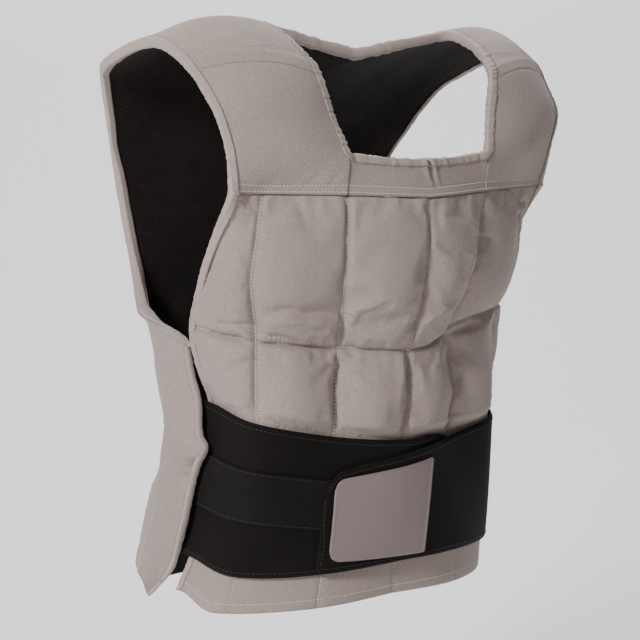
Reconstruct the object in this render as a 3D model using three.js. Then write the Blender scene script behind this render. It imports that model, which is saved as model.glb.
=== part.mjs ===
import * as THREE from 'three';

// Weighted vest with a wrap-around belt, in millimetres, +Z up. The origin is level with the
// place where the straps rest on the shoulders. The wearer looks along -Y and the wearer's
// right side is at -X. A drop is a length down from the origin.

// Main sizes
const vestLength = 567;
const torsoBreadth = 340;
const torsoDepth = 290;
const shoulderBreadth = 460;
const collarBreadth = 228; // between the inner edges of the straps on top of the shoulders
const necklineBreadth = 174; // between the corners of the neckline at the chest
const necklineDrop = 125;
const necklineDip = 6; // the middle of the neckline below its corners
const chestSeamDrop = 167;
const chestSeamLift = 7; // the seam's ends above its middle
const quiltDrop = 314;
const quiltLift = 27; // the quilting's ends above its middle
const quiltCurve = 1.5;
const hemRise = 8; // the middle of the front hem above its lowest places
const hemCornerRise = 16;
const crestInnerDrop = 3;
const crestOuterDrop = 21;

// Thickness of cloth and padding
const edgeThickness = 7;
const pocketThickness = 8; // what a filled pocket adds on the inside
const pocketPuff = 9; // what a filled pocket adds on the outside
const pressedPuff = 1; // the same under the belt
const liningThickness = 1;
const beltThickness = 4;
const elasticThickness = 1.2;
const patchThickness = 2;
const bindingThickness = 3;
const pieceGap = 0.3;
const beltSlack = 1.1; // between the pressed cloth and the belt
const layerSlack = 0.6; // between the layers of the belt
const wingSlack = 3.6; // between the belt and the lining of a wing

// Belt
const beltDrop = 362;
const beltHeight = 152;
const beltEase = 26; // length of cloth over which a pocket fills again above the belt
const beltMargin = 16; // cloth above the belt that stays pressed

// Fineness of the faceted surfaces
const pocketSteps = 4;
const bindingSides = 6;
const normalStep = 0.05; // in columns, to either side of a place
const normalDrop = 4; // the same in height

// Pockets of the front panel: columns on each side of the middle, how full a pocket's cloth is
// across and down, and where the filling thins out towards the edge, the seam and the hem
const pocketColumns = 3;
const puffAcross = 0.7;
const puffDown = 0.5;
const sideTaper = 0.5;
const seamTaper = 0.2;
const hemTaper = 0.12;
const hemCornerStart = 2.2; // in columns

// Front panel, half of each section, as shares of vestLength, torsoBreadth / 2 and torsoDepth.
// Columns 0 to 2 are the pocket lines and 3 is the panel's edge.
const frontTable = [
  { drop: 0.268, x1: 0.5, x2: 0.959, x3: 1.147, y0: -0.376, y1: -0.324, y2: -0.234, y3: -0.228 },
  { drop: 0.286, x1: 0.506, x2: 0.959, x3: 1.141, y0: -0.383, y1: -0.328, y2: -0.228, y3: -0.217 },
  { drop: 0.356, x1: 0.506, x2: 0.971, x3: 1.129, y0: -0.383, y1: -0.324, y2: -0.207, y3: -0.1 },
  { drop: 0.427, x1: 0.494, x2: 0.965, x3: 1.112, y0: -0.366, y1: -0.303, y2: -0.172, y3: -0.007 },
  { drop: 0.515, x1: 0.435, x2: 0.894, x3: 1.094, y0: -0.31, y1: -0.234, y2: -0.138, y3: 0.066 },
  { drop: 0.577, x1: 0.412, x2: 0.882, x3: 1.041, y0: -0.276, y1: -0.203, y2: -0.128, y3: 0.072 },
  { drop: 0.638, x1: 0.429, x2: 0.876, x3: 0.944, y0: -0.276, y1: -0.207, y2: -0.124, y3: 0.083 },
  { drop: 0.709, x1: 0.424, x2: 0.865, x3: 0.924, y0: -0.248, y1: -0.19, y2: -0.124, y3: 0.076 },
  { drop: 0.85, x1: 0.459, x2: 0.9, x3: 0.971, y0: -0.228, y1: -0.183, y2: -0.086, y3: 0.11 },
  { drop: 1, x1: 0.524, x2: 0.959, x3: 1.065, y0: -0.2, y1: -0.179, y2: -0.021, y3: 0.22 },
];

// Back panel below the armholes: the back's corner, the middle of the side wing and the wing's
// front edge, as shares of torsoBreadth / 2 and torsoDepth; by is the middle of the back.
const wingTable = [
  { drop: 0.494, cx: 0.976, cy: 0.486, sx: 1.094, sy: 0.303, wx: 1.082, wy: 0.117, by: 0.603 },
  { drop: 0.519, cx: 0.929, cy: 0.462, sx: 1.082, sy: 0.293, wx: 1.076, wy: 0.114, by: 0.607 },
  { drop: 0.58, cx: 0.9, cy: 0.448, sx: 1.059, sy: 0.283, wx: 1.047, wy: 0.114, by: 0.597 },
  { drop: 0.637, cx: 0.876, cy: 0.434, sx: 1.047, sy: 0.266, wx: 1.035, wy: 0.079, by: 0.59 },
  { drop: 0.691, cx: 0.859, cy: 0.417, sx: 1.035, sy: 0.245, wx: 1.029, wy: 0.076, by: 0.579 },
  { drop: 0.714, cx: 0.853, cy: 0.41, sx: 1.029, sy: 0.234, wx: 1.029, wy: 0.045, by: 0.572 },
  { drop: 0.744, cx: 0.859, cy: 0.414, sx: 1.041, sy: 0.248, wx: 1.041, wy: 0.079, by: 0.576 },
  { drop: 0.781, cx: 0.882, cy: 0.428, sx: 1.065, sy: 0.272, wx: 1.059, wy: 0.097, by: 0.586 },
  { drop: 0.854, cx: 0.929, cy: 0.462, sx: 1.1, sy: 0.297, wx: 1.088, wy: 0.124, by: 0.6 },
  { drop: 0.919, cx: 0.971, cy: 0.486, sx: 1.124, sy: 0.317, wx: 1.088, wy: 0.183, by: 0.617 },
  { drop: 0.952, cx: 0.988, cy: 0.5, sx: 1.135, sy: 0.338, wx: 1.1, wy: 0.228, by: 0.624 },
  { drop: 1, cx: 1.006, cy: 0.514, sx: 1.124, sy: 0.407, wx: 1.094, wy: 0.345, by: 0.634 },
];
const backRoundness = 2.2; // how squarely the back turns into the sides
const rearKnots = [0.8, 0.9]; // where the round back runs into the corner
const wingSlope = 18; // the front end of the wing's upper edge below its rear end
const wingSlopeEnd = 0.65; // share of vestLength where the rows are level again

// Back panel behind the shoulders. out is the half width as a share of shoulderBreadth / 2.
// d0, d2, d3 and d4 are drops at the middle, at the strap's inner line, on its crown and at
// the edge, as shares of vestLength; y0, y2 and y4 are shares of torsoDepth.
const shoulderTable = [
  { out: 1, d0: 0.071, d2: 0.025, d3: 0.013, d4: 0.038, y0: 0.166, y2: 0.159, y4: 0.162 },
  { out: 0.996, d0: 0.116, d2: 0.071, d3: 0.052, d4: 0.065, y0: 0.328, y2: 0.331, y4: 0.338 },
  { out: 0.939, d0: 0.176, d2: 0.136, d3: 0.106, d4: 0.095, y0: 0.441, y2: 0.455, y4: 0.428 },
  { out: 0.848, d0: 0.242, d2: 0.212, d3: 0.189, d4: 0.166, y0: 0.524, y2: 0.545, y4: 0.514 },
  { out: 0.765, d0: 0.321, d2: 0.303, d3: 0.282, d4: 0.25, y0: 0.579, y2: 0.597, y4: 0.579 },
  { out: 0.726, d0: 0.409, d2: 0.409, d3: 0.406, d4: 0.402, y0: 0.6, y2: 0.6, y4: 0.538 },
];
const backNeckline = { drop: 24, y: -1 }; // middle of the back neckline
const strapCrest = { innerY: -4, outerY: 5 };

// Straps from the chest seam to the top of the shoulder. Rise, x and y run from 0 at the seam
// to 1 on the shoulder, for the inner and the outer edge. crown is a share of the strap's
// width and lean turns it from forward, 0, to upward, 90 degrees.
const strapTable = [
  { inRise: 0.2375, outRise: 0.284, inX: 0, outX: 0.24, inY: -0.044, outY: -0.06, crown: 0.07, lean: 5 },
  { inRise: 0.475, outRise: 0.532, inX: 0.41, outX: 0.56, inY: 0.077, outY: -0.03, crown: 0.1, lean: 15 },
  { inRise: 0.706, outRise: 0.723, inX: 0.78, outX: 0.68, inY: 0.154, outY: 0.25, crown: 0.11, lean: 38 },
  { inRise: 0.831, outRise: 0.816, inX: 1, outX: 0.79, inY: 0.34, outY: 0.4, crown: 0.115, lean: 55 },
  { inRise: 0.931, outRise: 0.9, inX: 1.07, outX: 0.88, inY: 0.604, outY: 0.59, crown: 0.115, lean: 72 },
  { inRise: 1, outRise: 1, inX: 1, outX: 1, inY: 1, outY: 1, crown: 0.115, lean: 88 },
];
const strapSeamRow = 3; // the row of strapTable where the front of a strap meets the back panel

// Belt halves. at is the place round the body in pocket columns, negative on the wearer's
// right; past 3 it runs inside the wing. top and bottom are shares of beltHeight below beltDrop.
const rightBeltTable = [
  { at: -4.4, top: 0, bottom: 0.98 },
  { at: -3, top: 0, bottom: 1 },
  { at: -2, top: 0.1, bottom: 1.08 },
  { at: -1, top: 0.217, bottom: 1.09 },
  { at: 0, top: 0.27, bottom: 1.05 },
  { at: 0.5, top: 0.3, bottom: 1.04 },
  { at: 0.65, top: 0.35, bottom: 1.0 },
  { at: 0.75, top: 0.46, bottom: 0.92 },
];
const leftBeltTable = [
  { at: -1.12, top: 0.62, bottom: 1.03 },
  { at: -1.08, top: 0.54, bottom: 1.07 },
  { at: -1.02, top: 0.485, bottom: 1.08 },
  { at: -0.87, top: 0.43, bottom: 1.08 },
  { at: 0, top: 0.38, bottom: 1.06 },
  { at: 1, top: 0.349, bottom: 1.06 },
  { at: 2, top: 0.276, bottom: 1.066 },
  { at: 3, top: 0.145, bottom: 1.01 },
  { at: 4.4, top: 0.066, bottom: 0.98 },
];
const elasticTable = [
  { at: -2.85, top: 0.335, bottom: 0.68 },
  { at: -2, top: 0.395, bottom: 0.73 },
  { at: -1.2, top: 0.474, bottom: 0.8 },
];
const patchTable = [
  { at: -1.0, top: 0.56, bottom: 0.96 },
  { at: -0.95, top: 0.5, bottom: 1.0 },
  { at: -0.85, top: 0.475, bottom: 1.01 },
  { at: 0.25, top: 0.415, bottom: 1.03 },
  { at: 0.35, top: 0.425, bottom: 1.01 },
  { at: 0.4, top: 0.46, bottom: 0.96 },
];
const overlapEnd = 0.9; // where the left belt comes down off the right one
const overlapRun = 0.8; // and over how many columns

const clothMaterial = new THREE.MeshStandardMaterial({ color: 0xa59b96, roughness: 0.9, metalness: 0 });
const bindingMaterial = new THREE.MeshStandardMaterial({ color: 0x9d938e, roughness: 0.85, metalness: 0 });
const liningMaterial = new THREE.MeshStandardMaterial({ color: 0x1a1616, roughness: 0.95, metalness: 0 });
const beltMaterial = new THREE.MeshStandardMaterial({ color: 0x1e1a1a, roughness: 0.8, metalness: 0 });
const patchMaterial = new THREE.MeshStandardMaterial({ color: 0x877a78, roughness: 0.6, metalness: 0 });

const lerp = THREE.MathUtils.lerp;
const smoothstep = THREE.MathUtils.smoothstep;
const point = (x, y, z) => new THREE.Vector3(x, y, z);

// Values on a smooth curve through (knots, values), with slopes from the neighbours
function through(knots, values, t) {
  const last = knots.length - 1;
  let i = 0;
  while (i < last - 1 && t > knots[i + 1]) i += 1;
  const slope = (j) => {
    const a = Math.max(j - 1, 0);
    const b = Math.min(j + 1, last);
    return (values[b] - values[a]) / (knots[b] - knots[a]);
  };
  const span = knots[i + 1] - knots[i];
  const s = (t - knots[i]) / span;
  if (s < 0) return values[i] + slope(i) * s * span;
  if (s > 1) return values[i + 1] + slope(i + 1) * (s - 1) * span;
  const s2 = s * s;
  const s3 = s2 * s;
  return (
    (2 * s3 - 3 * s2 + 1) * values[i] +
    (s3 - 2 * s2 + s) * span * slope(i) +
    (3 * s2 - 2 * s3) * values[i + 1] +
    (s3 - s2) * span * slope(i + 1)
  );
}

function column(table, key, name, t) {
  return through(table.map((row) => row[key]), table.map((row) => row[name]), t);
}

// Evenly spaced numbers, ends included
function range(from, to, steps) {
  return Array.from({ length: steps + 1 }, (_, i) => lerp(from, to, i / steps));
}

// Front panel without its puff at place k, in pocket columns from the middle
function frontBase(k, drop) {
  const share = drop / vestLength;
  const half = torsoBreadth / 2;
  const x = [1, 2, 3].map((c) => column(frontTable, 'drop', `x${c}`, share) * half);
  const y = [0, 1, 2, 3].map((c) => column(frontTable, 'drop', `y${c}`, share) * torsoDepth);
  const knots = [-1, 0, 1, 2, 3];
  const a = Math.abs(k);
  const px = through(knots, [-x[0], 0, ...x], a);
  const py = through(knots, [y[1], ...y], a);
  return point(Math.sign(k) * px, py, -drop);
}

function frontNormal(k, drop) {
  const along = frontBase(k + normalStep, drop).sub(frontBase(k - normalStep, drop));
  const down = frontBase(k, drop + normalDrop).sub(frontBase(k, drop - normalDrop));
  return down.cross(along).normalize();
}

const chestSeam = (k) => {
  const fromEdge = 1 - Math.min(Math.abs(k), pocketColumns) / pocketColumns;
  return chestSeamDrop - chestSeamLift * (1 - fromEdge ** 2);
};
const quiltSeam = (k) => quiltDrop - quiltLift * (Math.abs(k) / pocketColumns) ** quiltCurve;
const frontHem = (k) => {
  const a = Math.abs(k);
  return vestLength - hemRise * (1 - a / pocketColumns) - hemCornerRise * smoothstep(a, hemCornerStart, pocketColumns);
};

function beltLine(table, name, at) {
  const first = table[0].at;
  const last = table[table.length - 1].at;
  const t = THREE.MathUtils.clamp(at, first, last);
  return beltDrop + beltHeight * column(table, 'at', name, t);
}
const beltOver = (k) => (k < overlapEnd ? rightBeltTable : leftBeltTable);

// Height of a filled pocket at column k and row v: rows 0 to 1 above the quilting, 1 to 2 below
function puff(k, v) {
  const drop = frontDrop(k, v);
  const across = Math.sin(Math.PI * (Math.abs(k) % 1)) ** puffAcross;
  const down = Math.sin(Math.PI * (v % 1)) ** puffDown;
  const width = frontBase(Math.ceil(Math.abs(k)), drop).distanceTo(frontBase(Math.floor(Math.abs(k)), drop));
  const fullness = Math.min(1, width / (torsoBreadth / 4));
  const full = pocketPuff * across * (v === Math.round(v) ? 0 : down) * fullness;
  const top = beltLine(beltOver(k), 'top', k);
  const free = 1 - smoothstep(drop, top - beltMargin - beltEase, top - beltMargin);
  return lerp(Math.min(full, pressedPuff), full, free);
}

function frontDrop(k, v) {
  if (v <= 1) return lerp(chestSeam(k), quiltSeam(k), v);
  return lerp(quiltSeam(k), frontHem(k), v - 1);
}

// Section of the back panel's outer face at place t: 0 is the middle of the back, 1 its
// corner, 2 the front edge of the wing
function backBase(t, drop) {
  const share = drop / vestLength;
  const value = (name) => column(wingTable, 'drop', name, share);
  const half = torsoBreadth / 2;
  const corner = point(value('cx') * half, value('cy') * torsoDepth, -drop);
  const a = Math.abs(t);
  const side = Math.sign(t);
  const rear = (f) => {
    const depth = value('by') * torsoDepth - corner.y;
    return point(f * corner.x, corner.y + depth * (1 - f ** backRoundness) ** (1 / backRoundness), -drop);
  };
  if (a <= rearKnots[1]) {
    const p = rear(a);
    return point(side * p.x, p.y, p.z);
  }
  const knots = [...rearKnots, 1, 1.5, 2];
  const before = rearKnots.map(rear);
  const x = [...before.map((p) => p.x), corner.x, value('sx') * half, value('wx') * half];
  const y = [...before.map((p) => p.y), corner.y, value('sy') * torsoDepth, value('wy') * torsoDepth];
  return point(side * through(knots, x, a), through(knots, y, a), -drop);
}

// Rows of a strap between its inner line, w = 0, and its outer edge, w = 1
const chestInner = frontBase(1, chestSeam(1));
const chestOuter = frontBase(3, chestSeam(3));
function strapPoint(row, w) {
  const innerX = lerp(necklineBreadth / 2, collarBreadth / 2, row.inX);
  const outerX = lerp(chestOuter.x, shoulderBreadth / 2, row.outX);
  const inner = point(
    innerX,
    lerp(chestInner.y, strapCrest.innerY, row.inY),
    lerp(chestInner.z, -crestInnerDrop, row.inRise),
  );
  const outer = point(
    outerX,
    lerp(chestOuter.y, strapCrest.outerY, row.outY),
    lerp(chestOuter.z, -crestOuterDrop, row.outRise),
  );
  const lean = THREE.MathUtils.degToRad(row.lean);
  const crown = row.crown * inner.distanceTo(outer) * 4 * w * (1 - w);
  return inner.lerp(outer, w).add(point(0, -Math.cos(lean) * crown, Math.sin(lean) * crown));
}

// A grid with rows added between its rows, each on a smooth curve down the columns
function refineRows(rows, steps) {
  const knots = rows.map((_, i) => i);
  const fine = [];
  for (let i = 0; i < rows.length - 1; i += 1) {
    for (let s = 0; s < steps; s += 1) fine.push(i + s / steps);
  }
  fine.push(rows.length - 1);
  return fine.map((t) =>
    rows[0].map((_, j) =>
      point(
        through(knots, rows.map((r) => r[j].x), t),
        through(knots, rows.map((r) => r[j].y), t),
        through(knots, rows.map((r) => r[j].z), t),
      ),
    ),
  );
}

const centreShare = 0.14; // the torso's centre behind the origin, of torsoDepth
const torsoCentre = point(0, torsoDepth * centreShare, -vestLength / 2);

// Outward normals of a grid of points
function gridNormals(grid) {
  const rows = grid.length;
  const cols = grid[0].length;
  const normals = grid.map((row, i) =>
    row.map((_, j) => {
      const across = grid[i][Math.min(j + 1, cols - 1)].clone().sub(grid[i][Math.max(j - 1, 0)]);
      const down = grid[Math.min(i + 1, rows - 1)][j].clone().sub(grid[Math.max(i - 1, 0)][j]);
      return across.cross(down).normalize();
    }),
  );
  const i = Math.floor(rows / 2);
  const j = Math.floor(cols / 3);
  const outward = grid[i][j].clone().sub(torsoCentre).dot(normals[i][j]) > 0;
  if (!outward) normals.forEach((row) => row.forEach((n) => n.negate()));
  return normals;
}

// The grid moved along its normals
function moved(grid, amount, normals = gridNormals(grid)) {
  const far = typeof amount === 'number' ? () => amount : amount;
  return grid.map((row, i) => row.map((p, j) => p.clone().addScaledVector(normals[i][j], far(i, j))));
}

// A closed solid between two like grids, where keep(i, j) says which cells exist. The faces of
// a whole-width grid are split alike on both sides of the middle.
function solidBetween(outer, inner, keep = () => true, wholeWidth = false) {
  const rows = outer.length;
  const cols = outer[0].length;
  const has = (i, j) => i >= 0 && j >= 0 && i < rows - 1 && j < cols - 1 && keep(i, j);
  const vertices = [];
  const indices = [];
  const numbers = new Map();
  const vertex = (layer, i, j) => {
    const key = `${layer},${i},${j}`;
    if (!numbers.has(key)) {
      numbers.set(key, vertices.length / 3);
      vertices.push(...(layer ? inner : outer)[i][j].toArray());
    }
    return numbers.get(key);
  };
  for (let i = 0; i < rows - 1; i += 1) {
    for (let j = 0; j < cols - 1; j += 1) {
      if (!has(i, j)) continue;
      const other = wholeWidth && j < (cols - 1) / 2;
      const quad = (a, b, c, d, turned) => {
        if (turned) indices.push(b, c, d, b, d, a);
        else indices.push(a, b, c, a, c, d);
      };
      const o = [vertex(0, i, j), vertex(0, i, j + 1), vertex(0, i + 1, j + 1), vertex(0, i + 1, j)];
      const n = [vertex(1, i, j), vertex(1, i, j + 1), vertex(1, i + 1, j + 1), vertex(1, i + 1, j)];
      quad(o[0], o[1], o[2], o[3], other);
      quad(n[0], n[3], n[2], n[1], other);
      if (!has(i - 1, j)) quad(o[0], n[0], n[1], o[1], other);
      if (!has(i + 1, j)) quad(o[3], o[2], n[2], n[3], other);
      if (!has(i, j + 1)) quad(o[1], n[1], n[2], o[2], false);
      if (!has(i, j - 1)) quad(o[0], o[3], n[3], n[0], false);
    }
  }
  return closedGeometry(vertices, indices);
}

// Geometry with its faces turned outward
function closedGeometry(vertices, indices) {
  let volume = 0;
  const a = point();
  const b = point();
  const c = point();
  for (let i = 0; i < indices.length; i += 3) {
    a.fromArray(vertices, indices[i] * 3);
    b.fromArray(vertices, indices[i + 1] * 3);
    c.fromArray(vertices, indices[i + 2] * 3);
    volume += a.dot(b.cross(c));
  }
  if (volume < 0) {
    for (let i = 0; i < indices.length; i += 3) {
      [indices[i + 1], indices[i + 2]] = [indices[i + 2], indices[i + 1]];
    }
  }
  const geometry = new THREE.BufferGeometry();
  geometry.setAttribute('position', new THREE.Float32BufferAttribute(vertices, 3));
  geometry.setIndex(indices);
  geometry.computeVertexNormals();
  return geometry;
}

const vest = new THREE.Group();
function addPiece(name, geometry, material) {
  const mesh = new THREE.Mesh(geometry, material);
  mesh.name = name;
  vest.add(mesh);
}

// Front halves of the straps, from the chest seam to the shoulder seam
const halfGap = pieceGap / 2;
const strapWidths = range(0, 1, 6);
const strapColumns = strapWidths.map((w) => lerp(1, 3, w));
function strapGrid() {
  const rows = [strapColumns.map((k) => frontBase(k, chestSeam(k) - halfGap))];
  strapTable.slice(0, strapSeamRow + 1).forEach((row) => {
    rows.push(strapWidths.map((w) => strapPoint(row, w)));
  });
  const fine = refineRows(rows, 2);
  const end = fine[fine.length - 1];
  const before = fine[fine.length - 2];
  end.forEach((p, j) => p.addScaledVector(p.clone().sub(before[j]).normalize(), -pieceGap));
  return fine;
}
const leftStrap = strapGrid();
const strapNormals = gridNormals(leftStrap);

// Chest yoke between the neckline and the chest seam, sharing its sides with the straps
const yokeColumns = range(-1, 1, 8);
const yokeFlatness = 0.4; // how far the neckline's middle stands over the seam
const yokeSideBlend = 6; // how late the rows turn to the straps' sides
const yokeRows = [0, 1, 2].map((i) => {
  const side = leftStrap[i][0];
  const rise = i / 2;
  return yokeColumns.map((k) => {
    const seam = frontBase(k, chestSeam(k) - halfGap);
    const dip = necklineDip * (1 - k * k);
    const neck = point(k * (necklineBreadth / 2), lerp(side.y, seam.y, yokeFlatness * (1 - k * k)), -necklineDrop - dip);
    const p = seam.lerp(neck, rise);
    p.lerp(point(Math.sign(k) * side.x, side.y, side.z), k ** yokeSideBlend);
    p.x -= k * pieceGap;
    return p;
  });
});
const yokeNormals = gridNormals(yokeRows);
const lastYokeColumn = yokeColumns.length - 1;
yokeColumns.forEach((k, j) => yokeNormals[0][j].copy(frontNormal(k, chestSeam(k))));
strapColumns.forEach((k, j) => strapNormals[0][j].copy(frontNormal(k, chestSeam(k))));
[0, 1, 2].forEach((i) => {
  const n = yokeNormals[i][lastYokeColumn].add(strapNormals[i][0]).normalize();
  strapNormals[i][0].copy(n);
  yokeNormals[i][0].set(-n.x, n.y, n.z);
});

// Front panel: quilted pockets between the chest seam and the hem
const frontColumns = range(-pocketColumns, pocketColumns, 2 * pocketColumns * pocketSteps);
const frontRowPlaces = [...range(0, 1, 6), ...range(1, 2, 9).slice(1)];
const frontGrid = frontRowPlaces.map((v) =>
  frontColumns.map((k) => frontBase(k, frontDrop(k, v) + (v === 0 ? halfGap : 0))),
);
const frontNormals = gridNormals(frontGrid);
frontColumns.forEach((k, j) => frontNormals[0][j].copy(frontNormal(k, chestSeam(k))));
const frontOuter = moved(frontGrid, (i, j) => puff(frontColumns[j], frontRowPlaces[i]), frontNormals);
const frontInner = moved(
  frontGrid,
  (i, j) => {
    const fromEdge = pocketColumns - Math.abs(frontColumns[j]);
    const v = frontRowPlaces[i];
    const filled = smoothstep(fromEdge, 0, sideTaper) * smoothstep(v, 0, seamTaper) * smoothstep(2 - v, 0, hemTaper);
    return -edgeThickness - pocketThickness * filled;
  },
  frontNormals,
);
addPiece('front_panel', solidBetween(frontOuter, frontInner, undefined, true), clothMaterial);

// Back panel from the shoulder seams to the hem, with a wing round each side. A place t runs
// from the middle of the back, 0, over its corner or armhole edge, 1, to the wing's edge, 2.
const halfShares = [0, 0.17, 0.33, ...strapWidths.map((w) => (1 + w) / 2), 1.25, 1.5, 1.75, 2];
const backPlaces = [...halfShares.slice(1).reverse().map((t) => -t), ...halfShares];
const strapRows = strapTable.slice(strapSeamRow);

function shoulderRow(row) {
  const half = (row.out * shoulderBreadth) / 2;
  return backPlaces.map((t) => {
    const f = Math.min(Math.abs(t), 1);
    const drop = vestLength * through([-0.5, 0, 0.5, 0.75, 1], [row.d2, row.d0, row.d2, row.d3, row.d4], f);
    const y = torsoDepth * through([-0.5, 0, 0.5, 1], [row.y2, row.y0, row.y2, row.y4], f);
    return point(Math.sign(t) * half * f, y, -drop);
  });
}

function crestRow(row) {
  return backPlaces.map((t) => {
    const f = Math.min(Math.abs(t), 1);
    if (f >= 0.5) {
      const p = strapPoint(row, f * 2 - 1);
      return point(Math.sign(t) * p.x, p.y, p.z);
    }
    const end = strapPoint(row, 0);
    const y = lerp(backNeckline.y, end.y, f * 2);
    return point(t * 2 * end.x, y, lerp(-backNeckline.drop, end.z, f * 2));
  });
}

const backControl = [
  ...strapRows.map(crestRow),
  ...shoulderTable.map(shoulderRow),
  ...wingTable.map((row) => {
    const level = 1 - smoothstep(row.drop, wingTable[0].drop, wingSlopeEnd);
    const slope = (t) => wingSlope * level * Math.max(Math.abs(t) - 1, 0) ** 2;
    return backPlaces.map((t) => backBase(t, row.drop * vestLength + slope(t)));
  }),
];
const aboveWing = strapRows.length + shoulderTable.length;
const backOuter = refineRows(backControl.slice(0, aboveWing + 1), 2).concat(backControl.slice(aboveWing + 1));
const neckRow = 2 * (strapRows.length - 1);
const armholeRow = backOuter.length - wingTable.length;
const lastBackColumn = backPlaces.length - 1;
const cornerColumn = backPlaces.indexOf(1);
const neckColumn = backPlaces.indexOf(0.5);
function backCell(i, j) {
  const middle = Math.abs(backPlaces[j] + backPlaces[j + 1]) / 2;
  if (middle > 1) return i >= armholeRow;
  return i >= neckRow || middle > 0.5;
}
const backNormals = gridNormals(backOuter);
const strapEnd = leftStrap.length - 1;
strapWidths.forEach((w, j) => {
  const n = backNormals[0][neckColumn + j].add(strapNormals[strapEnd][j]).normalize();
  strapNormals[strapEnd][j].copy(n);
  backNormals[0][lastBackColumn - neckColumn - j].set(-n.x, n.y, n.z);
});
const yokeInner = moved(yokeRows, -edgeThickness, yokeNormals);
addPiece('chest_yoke', solidBetween(yokeRows, yokeInner, undefined, true), clothMaterial);

const mirrored = (grid) => grid.map((row) => row.map((p) => point(-p.x, p.y, p.z)));
const leftStrapInner = moved(leftStrap, -edgeThickness, strapNormals);
const rightStrap = mirrored(leftStrap);
const rightStrapInner = mirrored(leftStrapInner);
addPiece('shoulder_strap_left', solidBetween(leftStrap, leftStrapInner), clothMaterial);
addPiece('shoulder_strap_right', solidBetween(rightStrap, rightStrapInner), clothMaterial);

const backInner = moved(backOuter, -edgeThickness, backNormals);
addPiece('back_panel', solidBetween(backOuter, backInner, backCell, true), clothMaterial);

// Lining on the inner face of the back panel
const liningOuter = moved(backOuter, -edgeThickness - pieceGap, backNormals);
const liningInner = moved(backOuter, -edgeThickness - pieceGap - liningThickness, backNormals);
addPiece('back_lining', solidBetween(liningOuter, liningInner, backCell, true), liningMaterial);

// Outer face of the belt at place s, lift off the cloth: on the front panel up to 3, and
// between the body and the wing past it
const wingPlaces = [
  { at: 3.4, t: 1.8 },
  { at: 3.9, t: 1.5 },
  { at: 4.4, t: 1.25 },
];
const beltTurn = [2.25, 2.5, 2.75, 3]; // places where the belt's line leaves the front
const liningInset = edgeThickness + pieceGap + liningThickness;
function beltPoint(s, drop, lift) {
  const side = Math.sign(s) || 1;
  const a = Math.abs(s);
  const onFront = (k) => {
    const normal = frontNormal(k, drop);
    const flat = Math.hypot(normal.x, normal.y);
    const p = frontBase(k, drop);
    return p.addScaledVector(point(normal.x, normal.y, 0).normalize(), (pressedPuff + beltSlack + lift) / flat);
  };
  const onWing = (t) => {
    const p = backBase(t, drop);
    const along = backBase(t + normalStep, drop).sub(backBase(t - normalStep, drop));
    const down = backBase(t, drop + normalDrop).sub(backBase(t, drop - normalDrop));
    const normal = along.cross(down).normalize();
    const flat = Math.hypot(normal.x, normal.y);
    const inset = (liningInset + wingSlack + beltThickness - lift) / flat;
    return p.addScaledVector(point(normal.x, normal.y, 0).normalize(), -inset);
  };
  if (a <= beltTurn[1]) {
    const p = onFront(a);
    return point(side * p.x, p.y, -drop);
  }
  const knots = [...beltTurn, ...wingPlaces.map((w) => w.at)];
  const line = [...beltTurn.map(onFront), ...wingPlaces.map((w) => onWing(w.t))];
  return point(side * through(knots, line.map((p) => p.x), a), through(knots, line.map((p) => p.y), a), -drop);
}

function bandGrid(table, places, rows, lift) {
  return range(0, 1, rows).map((v) =>
    places.map((s) => {
      const drop = lerp(beltLine(table, 'top', s), beltLine(table, 'bottom', s), v);
      return beltPoint(s, drop, lift(s));
    }),
  );
}

const beltRows = 5;
const pocketStep = 1 / pocketSteps;
const places = (from, to, step = pocketStep) => range(from, to, Math.round((to - from) / step));
const rightPlaces = [...places(-4.4, -3, 0.28).slice(0, -1), ...places(-3, 0.75)];
const rightBelt = bandGrid(rightBeltTable, rightPlaces, beltRows, () => beltThickness);
addPiece('belt_right', solidBetween(rightBelt, moved(rightBelt, -beltThickness)), beltMaterial);

const overlapLift = (s) => (beltThickness + layerSlack) * (1 - smoothstep(s, overlapEnd, overlapEnd + overlapRun));
const leftPlaces = [-1.12, -1.08, -1.02, -0.87, ...places(-0.75, 3), ...places(3, 4.4, 0.28).slice(1)];
const leftLift = (s) => beltThickness + overlapLift(s);
const leftBelt = bandGrid(leftBeltTable, leftPlaces, beltRows, leftLift);
addPiece('belt_left', solidBetween(leftBelt, moved(leftBelt, -beltThickness)), beltMaterial);

// Elastic on the right belt and patch on the end of the left one
const elasticLift = () => beltThickness + layerSlack + elasticThickness;
const elastic = bandGrid(elasticTable, [-2.85, ...places(-2.75, -1.25), -1.2], 4, elasticLift);
addPiece('belt_elastic', solidBetween(elastic, moved(elastic, -elasticThickness)), beltMaterial);
const patchPlaces = [-1, -0.95, -0.85, ...places(-0.75, 0.25), 0.35, 0.4];
const patchLift = (s) => leftLift(s) + layerSlack + patchThickness;
const patch = bandGrid(patchTable, patchPlaces, beltRows, patchLift);
addPiece('belt_patch', solidBetween(patch, moved(patch, -patchThickness)), patchMaterial);

// Binding: a roll of cloth along panel edges. A station holds the middle of an edge, the
// panel's normal there and a point further inside the panel.
function edgeStations(outer, inner, cells) {
  return cells.map(([i, j, di, dj]) => ({
    middle: outer[i][j].clone().lerp(inner[i][j], 0.5),
    normal: outer[i][j].clone().sub(inner[i][j]).normalize(),
    inside: outer[i + di][j + dj].clone().lerp(inner[i + di][j + dj], 0.5),
  }));
}

const mitreLimit = 0.6;
const beside = (station, from, to) => to.middle.clone().sub(from.middle).cross(station.normal).normalize();

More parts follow.
